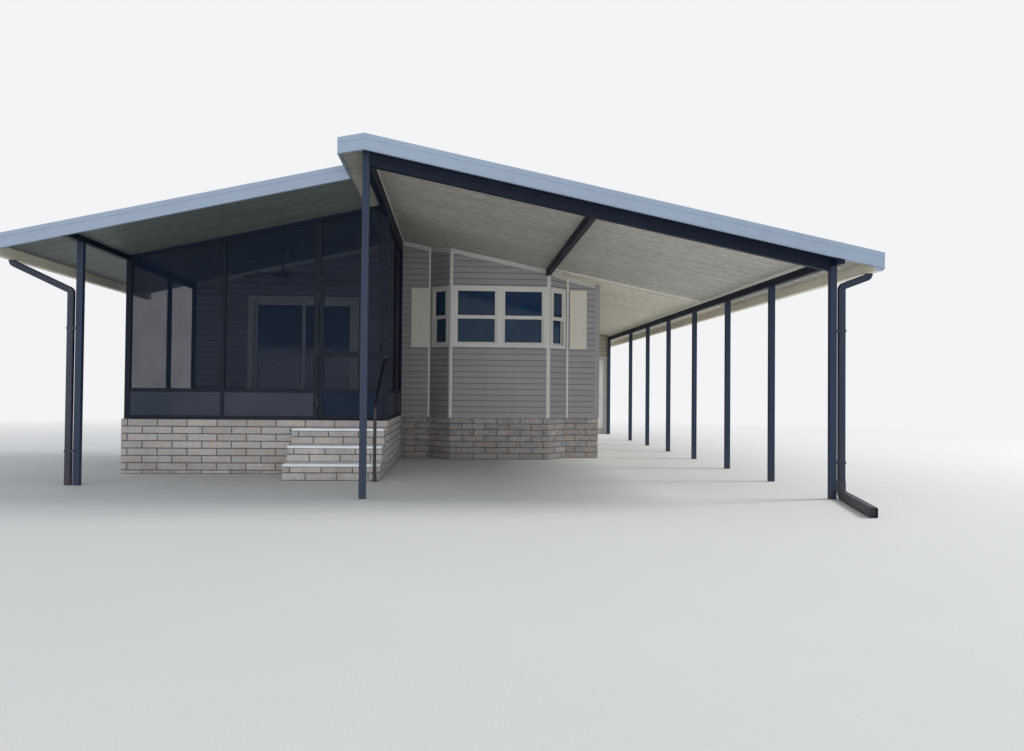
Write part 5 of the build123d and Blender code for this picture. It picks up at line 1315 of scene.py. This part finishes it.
class CARPORT_OT_siding(bpy.types.Operator):
    """Lap siding on the end wall, the bay, the side wall and the utility room"""

    bl_idname = "carport.siding"
    bl_label = "Siding"

    def execute(self, context):
        rng = np.random.default_rng(SEED)
        eave = right_z(HOME_RIGHT)
        side = wall_side(HOME_RIGHT, 1)
        side_wall = [laps(side, WALL_FRONT + HOME_TRIM, ROOM_FRONT, SIDING_FOOT, eave)]
        for name, parts, finish in (
            ("end_wall_siding", self.end_wall(), "siding"),
            ("bay_siding", self.bay(), "siding"),
            ("side_wall_siding", side_wall, "siding"),
            ("room_siding", self.room(), "room_siding"),
        ):
            piece = mesh_piece(name, *joined(parts), finishes[finish], "siding")
            tone_faces(piece, PRISM_FACES, LAP_SPREAD, rng)
        return {"FINISHED"}

    def end_wall(self):
        """Both sides of the patio door, over it, up to the ridge, and both sides of the bay."""
        front = wall_front(WALL_FRONT)
        door_head = SLIDER_HEAD + CASING
        left_jamb = SLIDER_LEFT - CASING
        right_jamb = SLIDER_RIGHT + CASING
        bay_left = BAY_LEFT - CORNER_TRIM
        bay_right = BAY_RIGHT + CORNER_TRIM
        return [
            laps(front, s0, s1, foot, 0, head)
            for s0, s1, foot, head in (
                (FRAME_INSIDE, left_jamb, PORCH_FLOOR, LEFT_HEAD),
                (left_jamb, right_jamb, door_head, LEFT_HEAD),
                (right_jamb, LEG_END, PORCH_FLOOR, LEFT_HEAD),
                (LEG_END, RIDGE_BEAM_LEFT, PORCH_FLOOR, LEG_HEAD),
                (FRAME_RIGHT, bay_left, SIDING_FOOT, RIGHT_HEAD),
                (bay_right, HOME_RIGHT - HOME_TRIM, SIDING_FOOT, RIGHT_HEAD),
            )
        ]

    def bay(self):
        """Under and over the bay's front window, and all round each side window."""
        front = wall_front(BAY_FACE)
        left = BAY_FRONT_LEFT + CORNER_TRIM
        right = BAY_FRONT_RIGHT - CORNER_TRIM
        foot = WINDOW_FOOT - CASING
        head = WINDOW_HEAD + CASING
        parts = [
            laps(front, left, right, SIDING_FOOT, foot),
            laps(front, left, right, head, 0, RIGHT_HEAD),
        ]
        end = BAY_SIDE - CORNER_TRIM
        jamb = SIDE_WINDOW_INSET - CASING
        for at_right, x, slope in ((False, BAY_LEFT, -BAY_SLOPE), (True, BAY_RIGHT, BAY_SLOPE)):
            wall = bay_side(at_right)
            ceiling = (right_z(x) - UNDER_FRIEZE, slope)
            parts += [
                laps(wall, 0.0, end, SIDING_FOOT, foot),
                laps(wall, 0.0, jamb, foot, head),
                laps(wall, BAY_SIDE - SIDE_WINDOW_INSET + CASING, end, foot, head),
                laps(wall, 0.0, end, head, 0, ceiling),
            ]
        return parts

    def room(self):
        """Utility room: both sides of its door and over it, its outer side and its back."""
        front = wall_front(ROOM_FRONT)
        rear = Wall((0, ROOM_BACK, 0), (1, 0, 0), (0, 1, 0))
        left = ROOM_DOOR_LEFT - DOOR_CASING
        right = ROOM_DOOR_RIGHT + DOOR_CASING
        eave = right_z(ROOM_RIGHT)
        return [
            laps(front, HOME_RIGHT, left, 0, 0, BARE_HEAD),
            laps(front, right, ROOM_RIGHT - POST, 0, 0, BARE_HEAD),
            laps(front, left, right, ROOM_DOOR_HEAD + DOOR_CASING, 0, BARE_HEAD),
            laps(wall_side(ROOM_RIGHT, 1), ROOM_FRONT, ROOM_BACK, 0, eave),
            laps(rear, HOME_RIGHT - REAR_OVERLAP, ROOM_RIGHT, 0, 0, BARE_HEAD),
        ]


class CARPORT_OT_blockwork(bpy.types.Operator):
    """Blocks on the porch walls, the steps and the skirting, with the joints left open"""

    bl_idname = "carport.blockwork"
    bl_label = "Blockwork"

    def execute(self, context):
        rng = np.random.default_rng(SEED)
        for name, lay, finish in (
            ("porch_blocks", self.porch, "block"),
            ("step_blocks", self.steps, "block"),
            ("skirting_blocks", self.skirting, "skirting"),
        ):
            piece = mesh_piece(name, *joined(lay(rng)), finishes[finish], "block")
            tone_faces(piece, BLOCK_FACES, BLOCK_SPREAD, rng)
        return {"FINISHED"}

    def porch(self, rng):
        """Whole courses from the porch floor down, on the front and on both sides."""
        size = sizes()
        half = size.block / 2
        number = np.arange(PORCH_COURSES)
        tops = PORCH_FLOOR - size.course * number
        feet = np.maximum(tops - size.course, 0.0)
        shift = half * (number % 2)
        rows = list(zip(feet, tops, BLOCK_JOINT_X + shift))
        side_rows = list(zip(feet, tops, PORCH_FRONT + half - shift))
        front = wall_front(PORCH_FRONT)
        parts = [courses(front, PORCH_LEFT, PORCH_RIGHT, rows, rng, (True, True))]
        for x, out in ((PORCH_LEFT, -1), (PORCH_RIGHT, 1)):
            side = wall_side(x, out)
            parts.append(courses(side, PORCH_FRONT, WALL_FRONT, side_rows, rng, (True, False)))
        return parts

    def steps(self, rng):
        """Two courses under each tread, on its riser and on both ends."""
        size = sizes()
        half = size.block / 2
        parts = []
        for n in range(STEPS):
            y = STEP_FRONT + n * STEP_RUN
            foot = n * STEP_RISE
            middle = foot + size.course
            head = foot + STEP_RISE - TREAD
            rows = [(foot, middle, STEP_JOINT_X), (middle, head, STEP_JOINT_X + half)]
            parts.append(courses(wall_front(y), STEP_LEFT, STEP_RIGHT, rows, rng, (True, True)))
            below = max(foot - TREAD, 0.0)
            rows = [(below, middle, y + half), (middle, head, y + size.block)]
            for x, out in ((STEP_LEFT, -1), (STEP_RIGHT, 1)):
                parts.append(courses(wall_side(x, out), y, PORCH_FRONT, rows, rng, (True, False)))
        return parts

    def skirting(self, rng):
        """Equal courses under the siding, set back a little from it."""
        number = np.arange(SKIRT_COURSES)
        edges = SIDING_FOOT * np.arange(SKIRT_COURSES + 1) / SKIRT_COURSES
        shift = sizes().block / 2 * (number % 2)
        rows = list(zip(edges[:-1], edges[1:], shift + SKIRT_JOINT))
        bend = SKIRT_SETBACK * BEND
        back = WALL_FRONT + SKIRT_SETBACK
        corner = HOME_RIGHT - SKIRT_SETBACK
        bay = wall_front(BAY_FACE + SKIRT_SETBACK)
        return [
            courses(wall, s0, s1, rows, rng, wrap)
            for wall, s0, s1, wrap in (
                (wall_front(back), PORCH_RIGHT, BAY_LEFT + bend, (False, False)),
                (wall_front(back), BAY_RIGHT - bend, corner, (False, True)),
                (bay, BAY_FRONT_LEFT + bend, BAY_FRONT_RIGHT - bend, (False, False)),
                (bay_side(False, SKIRT_SETBACK), 0.0, BAY_SIDE, (False, False)),
                (bay_side(True, SKIRT_SETBACK), 0.0, BAY_SIDE, (False, False)),
                (wall_side(corner, 1), back, ROOM_FRONT, (True, False)),
            )
        ]


def sloped_bar(x0, x1, y0, y1, thick):
    """Flat bar against the right slope's ceiling, over a rectangle of X and Y."""
    x = np.array((x0, x0, x1, x1))
    z = right_z(x) - np.array((0, thick, thick, 0))
    ends = [np.stack((x, np.full(4, y), z), -1) for y in (y0, y1)]
    return prisms(np.stack(ends)[None])


RIDGE_STRIP = 0.01
MIDDLE_STRIP = 0.012
JOINT_SHEET = 0.004
JOINT_RIB = 0.009
HALF_RIB = 0.006


class CARPORT_OT_ceiling_strips(bpy.types.Operator):
    """White closure strips beside the beams and over the joint between the two roofs"""

    bl_idname = "carport.ceiling_strips"
    bl_label = "Ceiling strips"

    def execute(self, context):
        size = sizes()
        half = size.joint_strip / 2
        wide = size.strip
        front = HALF_POST
        joint = ROOF_JOINT
        middle = MIDDLE_BEAM_RIGHT
        beam = SIDE_BEAM_LEFT
        parts = [
            sloped_bar(HALF_POST, HALF_POST + wide, front, WALL_FRONT - wide, RIDGE_STRIP),
            sloped_bar(middle, middle + wide, front, joint - half, MIDDLE_STRIP),
            sloped_bar(middle, beam, joint - half, joint + half, JOINT_SHEET),
            sloped_bar(middle, beam, joint - HALF_RIB, joint + HALF_RIB, JOINT_RIB),
            sloped_bar(beam - wide, beam, front, high("side_beam").y, size.closure),
        ]
        mesh_piece("ceiling_strips", *joined(parts), finishes["strip"], "trim")
        return {"FINISHED"}


def upright_loop(wall, s0, s1, z0, z1, depth, profile, head=None):
    """Profile carried round an opening in a wall.

    Corner = (s0 or s1, z0 or z1, depth) on the wall; head gives the heights at the upper two.
    """
    top = (z1, z1) if head is None else head
    s = np.array((s0, s1, s1, s0))
    z = np.array((z0, z0, top[1], top[0]))
    corners = wall.at(s, z, np.full(4, depth))
    if np.cross(wall.along, UP) @ wall.out < 0:
        corners = corners[::-1]
    return mitred_loop(corners, wall.out, profile)


class CARPORT_OT_screen_beads(bpy.types.Operator):
    """Round beads that hold the insect screens in the grooves of their frames"""

    bl_idname = "carport.screen_beads"
    bl_label = "Screen beads"

    def execute(self, context):
        parts = [*self.front(), *self.sides()]
        rubber = finishes["rubber"]
        mesh_piece("screen_beads", *joined(parts), rubber, "rail_paint", smooth=True)
        leaf = joined(self.door())
        mesh_piece("door_beads", *leaf, rubber, "rail_paint", "screen_door_leaf", smooth=True)
        return {"FINISHED"}

    def front(self):
        """Two screens left of the door, their heads on the left slope."""
        wall = wall_front(FRAME_FRONT)
        profile = round_profile(sizes().bead)
        grow = SPLINE_OFFSET
        foot = KICK_TOP + HALF_BAR - grow
        for x0, x1 in (
            (FRAME_LEFT + POST - grow, MULLION_X - HALF_BAR + grow),
            (MULLION_X + HALF_BAR - grow, DOOR_LEFT - DOOR_JAMB + grow),
        ):
            head = [left_z(x) - FRAME_BAR + grow for x in (x0, x1)]
            yield upright_loop(wall, x0, x1, foot, 0, BEAD_DEPTH, profile, head)

    def sides(self):
        """Two screens on each side, their heads level."""
        profile = round_profile(sizes().bead)
        grow = SPLINE_OFFSET
        foot = KICK_TOP + HALF_BAR - grow
        end = WALL_FRONT - FRAME_BAR + grow
        for x, out, start, beam in (
            (FRAME_LEFT, -1, FRAME_FRONT + 2 * FRAME_BAR, "porch_beam"),
            (FRAME_RIGHT, 1, FRAME_FRONT + POST, "ridge_beam"),
        ):
            wall = wall_side(x, out)
            head = low(beam).z - FRAME_BAR + grow
            for y0, y1 in (
                (start - grow, SIDE_MULLION_Y - HALF_POST + grow),
                (SIDE_MULLION_Y + HALF_POST - grow, end),
            ):
                yield upright_loop(wall, y0, y1, foot, head, BEAD_DEPTH, profile)

    def door(self):
        """Screens under and over the door's middle rail, on the leaf's face."""
        profile = round_profile(sizes().bead)
        grow = SPLINE_OFFSET
        first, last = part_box("door_infill")
        leaf = wall_front(high("screen_door").y - LEAF_THICK)
        for z0, z1 in (
            (KICK_TOP + HALF_BAR, MID_RAIL_Z - HALF_RAIL),
            (MID_RAIL_Z + HALF_RAIL, last.z),
        ):
            hole = (first.x - grow, last.x + grow, z0 - grow, z1 + grow)
            yield upright_loop(leaf, *hole, BEAD_DEPTH, profile)


GASKET = ((-0.005, 0.0), (0.0, 0.0), (0.0, 0.004), (-0.003, 0.004))


def glass_gasket(node):
    """Gasket round a pane of the patio door."""
    first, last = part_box(node)
    return upright_loop(wall_front(first.y), first.x, last.x, first.z, last.z, 0.0, GASKET)


class CARPORT_OT_gaskets(bpy.types.Operator):
    """Rubber gaskets round the window panes and the patio door's glass"""

    bl_idname = "carport.gaskets"
    bl_label = "Gaskets"

    def execute(self, context):
        meeting = (WINDOW_FOOT + WINDOW_HEAD) / 2 - MEETING_DROP
        centre = (WINDOW_LEFT + WINDOW_RIGHT) / 2
        bay = wall_front(BAY_FACE)
        side = (SIDE_WINDOW_INSET + SASH, BAY_SIDE - SIDE_WINDOW_INSET - SASH)
        panes = [
            upright_loop(wall, s0, s1, z0, z1, -depth, GASKET)
            for wall, s0, s1 in (
                (bay, WINDOW_LEFT + SASH, centre - WINDOW_POST - SASH),
                (bay, centre + WINDOW_POST + SASH, WINDOW_RIGHT - SASH),
                (bay_side(False), *side),
                (bay_side(True), *side),
            )
            for z0, z1, depth in (
                (meeting + MEETING_RAIL, WINDOW_HEAD - SASH, SASH_FACE),
                (WINDOW_FOOT + SASH, meeting - MEETING_RAIL, SASH_FACE + SASH_THICK),
            )
        ]
        panes.append(glass_gasket("fixed_glass"))
        rubber = finishes["rubber"]
        mesh_piece("window_gaskets", *joined(panes), rubber, "rail_paint")
        sliding = glass_gasket("sliding_glass")
        mesh_piece("sliding_gasket", *sliding, rubber, "rail_paint", "patio_door_leaf")
        return {"FINISHED"}


DRIP_OVERHANG = 0.01
DRIP_DEPTH = 0.03
DRIP_RISE = 0.014
STILE = 0.13
HALF_MUNTIN = 0.05
LOWER_PANELS = (0.22, 0.88)
UPPER_PANEL_FOOT = 1.02
TOP_RAIL = 0.14
MOULDING = ((-0.012, -0.001), (0.012, -0.001), (0.008, 0.004), (-0.008, 0.004))


class CARPORT_OT_room_door_trim(bpy.types.Operator):
    """Casing round the utility room's door, its jamb lining and the mouldings on its leaf"""

    bl_idname = "carport.room_door_trim"
    bl_label = "Room door trim"

    def execute(self, context):
        left, right, head = ROOM_DOOR_LEFT, ROOM_DOOR_RIGHT, ROOM_DOOR_HEAD
        y = ROOM_FRONT
        face = y - CASING_SHEET
        jamb = y - JAMB_SHEET
        inner = (left - HINGE_LEAF, right + HINGE_LEAF, head + HINGE_LEAF)
        outer = (left - DOOR_CASING, right + DOOR_CASING, head + DOOR_CASING)
        boards = (
            ((outer[0], face, 0), (inner[0], y, inner[2])),
            ((inner[1], face, 0), (outer[1], y, inner[2])),
            ((outer[0], face, inner[2]), (outer[1], y, outer[2])),
            ((inner[0], jamb, 0), (left, y, head)),
            ((right, jamb, 0), (inner[1], y, head)),
            ((inner[0], jamb, head), (inner[1], y, inner[2])),
            (
                (outer[0] - DRIP_OVERHANG, y - DRIP_DEPTH, outer[2]),
                (outer[1] + DRIP_OVERHANG, y, outer[2] + DRIP_RISE),
            ),
        )
        mesh_piece("room_door_casing", *boxes(*zip(*boards)), finishes["trim"], "trim")

        leaf = wall_front(ROOM_FRONT + ROOM_LEAF_DEPTH)
        first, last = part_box("room_door")
        start, end = left + STILE, right - STILE
        middle = (start + end) / 2
        columns = ((start, middle - HALF_MUNTIN), (middle + HALF_MUNTIN, end))
        rows = (
            [first.z + height for height in LOWER_PANELS],
            (first.z + UPPER_PANEL_FOOT, last.z - TOP_RAIL),
        )
        loops = [
            upright_loop(leaf, x0, x1, z0, z1, 0.0, MOULDING)
            for z0, z1 in rows
            for x0, x1 in columns
        ]
        door = finishes["door"]
        mesh_piece("room_door_mouldings", *joined(loops), door, "door_paint", "room_door_leaf")
        return {"FINISHED"}


BLADE_PITCH = 12.0
IRON_REACH = (0.06, 0.2)
IRON_HALF_WIDTHS = (0.018, 0.034)
IRON_TOP = -0.003
IRON_FOOT = -0.009
IRON_SCREWS = ((0.13, -0.014), (0.13, 0.014), (0.18, 0.0))
IRON_SCREW = (0.005, 0.003)
CAP_RADIUS = 0.052
CAP_DROP = 0.02
CAP_SEAT = 0.001
CAP_TURN_STEPS = 25
CAP_RISE_STEPS = 7


def fan_frame(turn):
    """Directions along a blade, across it and out of its upper face."""
    pitch = radians(BLADE_PITCH)
    along = np.array((cos(turn), sin(turn), 0))
    across = np.array((-sin(turn) * cos(pitch), cos(turn) * cos(pitch), sin(pitch)))
    return along, across, np.cross(along, across)


class CARPORT_OT_fan_irons(bpy.types.Operator):
    """Irons under the fan's blades and the cap below its motor"""

    bl_idname = "carport.fan_irons"
    bl_label = "Fan irons"

    def execute(self, context):
        hub = np.array((FAN_X, FAN_Y, left_z(FAN_X) - FAN_DROP))
        reach = np.array(IRON_REACH)[:, None, None]
        wide = np.outer(IRON_HALF_WIDTHS, (-1, -1, 1, 1))[..., None]
        deep = np.array((IRON_TOP, IRON_FOOT, IRON_FOOT, IRON_TOP))[None, :, None]
        bars = []
        heads = []
        downs = []
        for n in range(FAN_BLADES):
            along, across, above = fan_frame(2 * pi * n / FAN_BLADES)
            bars.append(hub + reach * along + wide * across + deep * above)
            for r, w in IRON_SCREWS:
                heads.append(hub + r * along + w * across + IRON_FOOT * above)
                downs.append(-above)
        irons = joined([prisms(np.array(bars)), studs(heads, downs, *IRON_SCREW)])
        mesh_piece("fan_irons", *irons, finishes["rail"], "rail_paint", "fan_rotor")
        cap = patches(self.cap()[None], -UP[None])
        mesh_piece("fan_cap", *cap, finishes["fan"], "fan", "fan_rotor", smooth=True)
        return {"FINISHED"}

    def cap(self):
        """Half an ellipsoid under the motor: radius * sin(rise) wide, drop * cos(rise) low."""
        turn = np.linspace(0, 2 * pi, CAP_TURN_STEPS)
        rise = np.linspace(0, pi / 2, CAP_RISE_STEPS)
        turn, rise = np.meshgrid(turn, rise, indexing="ij")
        radius = CAP_RADIUS * np.sin(rise)
        x = FAN_X + radius * np.cos(turn)
        y = FAN_Y + radius * np.sin(turn)
        z = low("fan_blades").z - CAP_DROP * np.cos(rise) + CAP_SEAT
        return np.stack((x, y, z), -1)


SCREW_RISE = 0.002
FASCIA_PITCH = 0.61
FASCIA_DROP = 0.035
FASCIA_FACE = 0.006
FASCIA_INSET = 0.1
FASCIA_END = -0.4
PAN_EDGE = 0.04
JOINT_CLEARANCE = 0.03
BEAM_CLEARANCE = 0.1
FRONT_PANS = (1, 20)
SIDE_PANS = (18, 54)
PORCH_PANS = (4, 20)
FRONT_COLUMNS = (0.4, 2.0, 3.6, 5.2)
SIDE_COLUMNS = (3.75, 5.2)
PORCH_COLUMNS = (-0.7, -2.2, -3.7)
ROOF_SCREW = (0.007, 0.004)
CORNER_SCREW = 0.025
JAMB_SCREW = 0.035
HEAD_SCREW = 0.1
FRAME_SCREW_APART = 0.012
HINGE_SCREW = (0.0035, 0.0015)
KNUCKLE_RADIUS = 0.004
HINGE_LENGTH = 0.09
HINGE_SCREW_X = 0.01
HINGE_SCREWS = (0.015, 0.075)
HALF_SEAM = 0.0015
SEAM_RISE = 0.0006
RIDGE_SEAM_DROP = 0.2


def row_spots(x, y, z):
    """Points in a row along X at one Y."""
    return np.stack((x, np.full_like(x, y), z), -1)


def pan_spots(pans, columns, ceiling):
    """Points on the upper side of the pans, at the pans' seams and the columns' X."""
    seams = ROOF_FRONT + PAN * np.arange(*pans)
    y, x = (part.ravel() for part in np.meshgrid(seams, np.array(columns), indexing="ij"))
    return np.stack((x, y, ceiling(x) + PANEL), -1)


class CARPORT_OT_fixings(bpy.types.Operator):
    """Screws of the fascias, frames, hinges and roof seams, and the posts' seams"""

    bl_idname = "carport.fixings"
    bl_label = "Fixings"

    def execute(self, context):
        screw = (sizes().screw, SCREW_RISE)
        fascia = studs(self.fascia(), TO_FRONT, *screw)
        mesh_piece("fascia_screws", *fascia, finishes["fascia"], "fascia")
        mesh_piece("roof_screws", *joined(self.roof()), finishes["steel"], "fascia")
        frames = studs(self.frames(), TO_FRONT, *screw)
        mesh_piece("frame_screws", *frames, finishes["beam"], "bronze")
        hinges = studs(self.hinges(), TO_FRONT, *HINGE_SCREW)
        mesh_piece("hinge_screws", *hinges, finishes["rail"], "rail_paint")
        mesh_piece("post_seams", *self.seams(), finishes["rubber"], "bronze")
        return {"FINISHED"}

    def fascia(self):
        """One screw every two feet or so, along both fascias."""
        right = np.arange(-FASCIA_INSET, RIGHT_EAVE - FASCIA_INSET, FASCIA_PITCH)
        right_head = RIDGE_Z - RIGHT_FALL * np.abs(right)
        first = low("porch_fascia")
        left = np.arange(first.x + FASCIA_INSET, FASCIA_END, FASCIA_PITCH)
        return np.concatenate(
            (
                row_spots(right, ROOF_FRONT + FASCIA_FACE, right_head - FASCIA_DROP),
                row_spots(left, first.y + FASCIA_FACE, left_z(left) - FASCIA_DROP),
            )
        )

    def roof(self):
        """Screws on the seams of the front roof, the side roof and the porch roof."""
        front = pan_spots(FRONT_PANS, FRONT_COLUMNS, right_z)
        before = front[:, 1] < ROOF_JOINT - JOINT_CLEARANCE
        inside = front[:, 0] < MIDDLE_BEAM_RIGHT - BEAM_CLEARANCE
        front = front[(front[:, 1] < WALL_BACK - PAN_EDGE) & (before | inside)]
        side = pan_spots(SIDE_PANS, SIDE_COLUMNS, right_z)
        beyond = side[:, 1] > ROOF_JOINT + JOINT_CLEARANCE
        side = side[beyond & (side[:, 1] < high("side_roof").y - PAN_EDGE)]
        porch = pan_spots(PORCH_PANS, PORCH_COLUMNS, left_z)
        porch = porch[porch[:, 1] < WALL_BACK - PAN_EDGE]
        right = studs(np.concatenate((front, side)), (RIGHT_FALL, 0, 1), *ROOF_SCREW)
        return [right, studs(porch, (-LEFT_FALL, 0, 1), *ROOF_SCREW)]

    def frames(self):
        """Pairs of screws where the porch's upright and level bars meet."""
        return [
            (x + apart, FRAME_FRONT, z)
            for x in (FRAME_LEFT + CORNER_SCREW, MULLION_X, DOOR_LEFT - JAMB_SCREW)
            for z in (PORCH_FLOOR + HALF_BAR, KICK_TOP, left_z(x) - HEAD_SCREW)
            for apart in (-FRAME_SCREW_APART, FRAME_SCREW_APART)
        ]

    def hinges(self):
        """Two screws on each of the three hinges of a door."""
        spots = []
        for node in ("screen_door_hinges", "room_door_hinges"):
            first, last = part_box(node)
            x = first.x + HINGE_SCREW_X
            y = last.y - KNUCKLE_RADIUS
            middle = (first.z + last.z - HINGE_LENGTH) / 2
            for foot in (first.z, middle, last.z - HINGE_LENGTH):
                spots += [(x, y, foot + up) for up in HINGE_SCREWS]
        return spots

    def seams(self):
        """Dark line up the front and the back of each post."""
        beam = low("side_beam").z
        posts = [(RIGHT_LINE, n * POST_SPACING, beam) for n in range(SPACED_POSTS)]
        posts.append((RIGHT_LINE, REAR_POST, beam))
        posts.append((0.0, 0.0, RIDGE_Z - RIDGE_SEAM_DROP))
        posts.append((LEFT_LINE, LEFT_POST, low("porch_beam").z))
        lows = []
        highs = []
        for x, y, top in posts:
            for face in (y - HALF_POST, y + HALF_POST):
                lows.append((x - HALF_SEAM, face - SEAM_RISE, 0.0))
                highs.append((x + HALF_SEAM, face + SEAM_RISE, top))
        return boxes(lows, highs)


class CARPORT_PT_panel(bpy.types.Panel):
    """Sizes, colours and pieces of the carport"""

    bl_idname = "CARPORT_PT_panel"
    bl_label = "Carport"
    bl_space_type = "VIEW_3D"
    bl_region_type = "UI"
    bl_category = "Carport"

    def draw(self, context):
        layout = self.layout
        for settings in (context.scene.carport_sizes, context.scene.carport_colours):
            box = layout.box()
            for name in settings.__annotations__:
                box.prop(settings, name)
        for operator in OPERATORS:
            layout.operator(operator.bl_idname)


OPERATORS = (
    CARPORT_OT_finishes,
    CARPORT_OT_siding,
    CARPORT_OT_blockwork,
    CARPORT_OT_ceiling_strips,
    CARPORT_OT_screen_beads,
    CARPORT_OT_gaskets,
    CARPORT_OT_room_door_trim,
    CARPORT_OT_fan_irons,
    CARPORT_OT_fixings,
    CARPORT_OT_stage,
)
CLASSES = (CarportSizes, CarportColours, *OPERATORS, CARPORT_PT_panel)


def register():
    """Registers the classes and the scene's settings."""
    for item in CLASSES:
        bpy.utils.register_class(item)
    bpy.types.Scene.carport_sizes = PointerProperty(type=CarportSizes)
    bpy.types.Scene.carport_colours = PointerProperty(type=CarportColours)


def unregister():
    """Takes the settings and the classes away again."""
    del bpy.types.Scene.carport_colours
    del bpy.types.Scene.carport_sizes
    for item in reversed(CLASSES):
        bpy.utils.unregister_class(item)


def main():
    """Makes every piece in order."""
    register()
    bpy.ops.carport.finishes()
    bpy.ops.carport.siding()
    bpy.ops.carport.blockwork()
    bpy.ops.carport.ceiling_strips()
    bpy.ops.carport.screen_beads()
    bpy.ops.carport.gaskets()
    bpy.ops.carport.room_door_trim()
    bpy.ops.carport.fan_irons()
    bpy.ops.carport.fixings()
    bpy.ops.carport.stage()


if __name__ == "__main__":
    main()
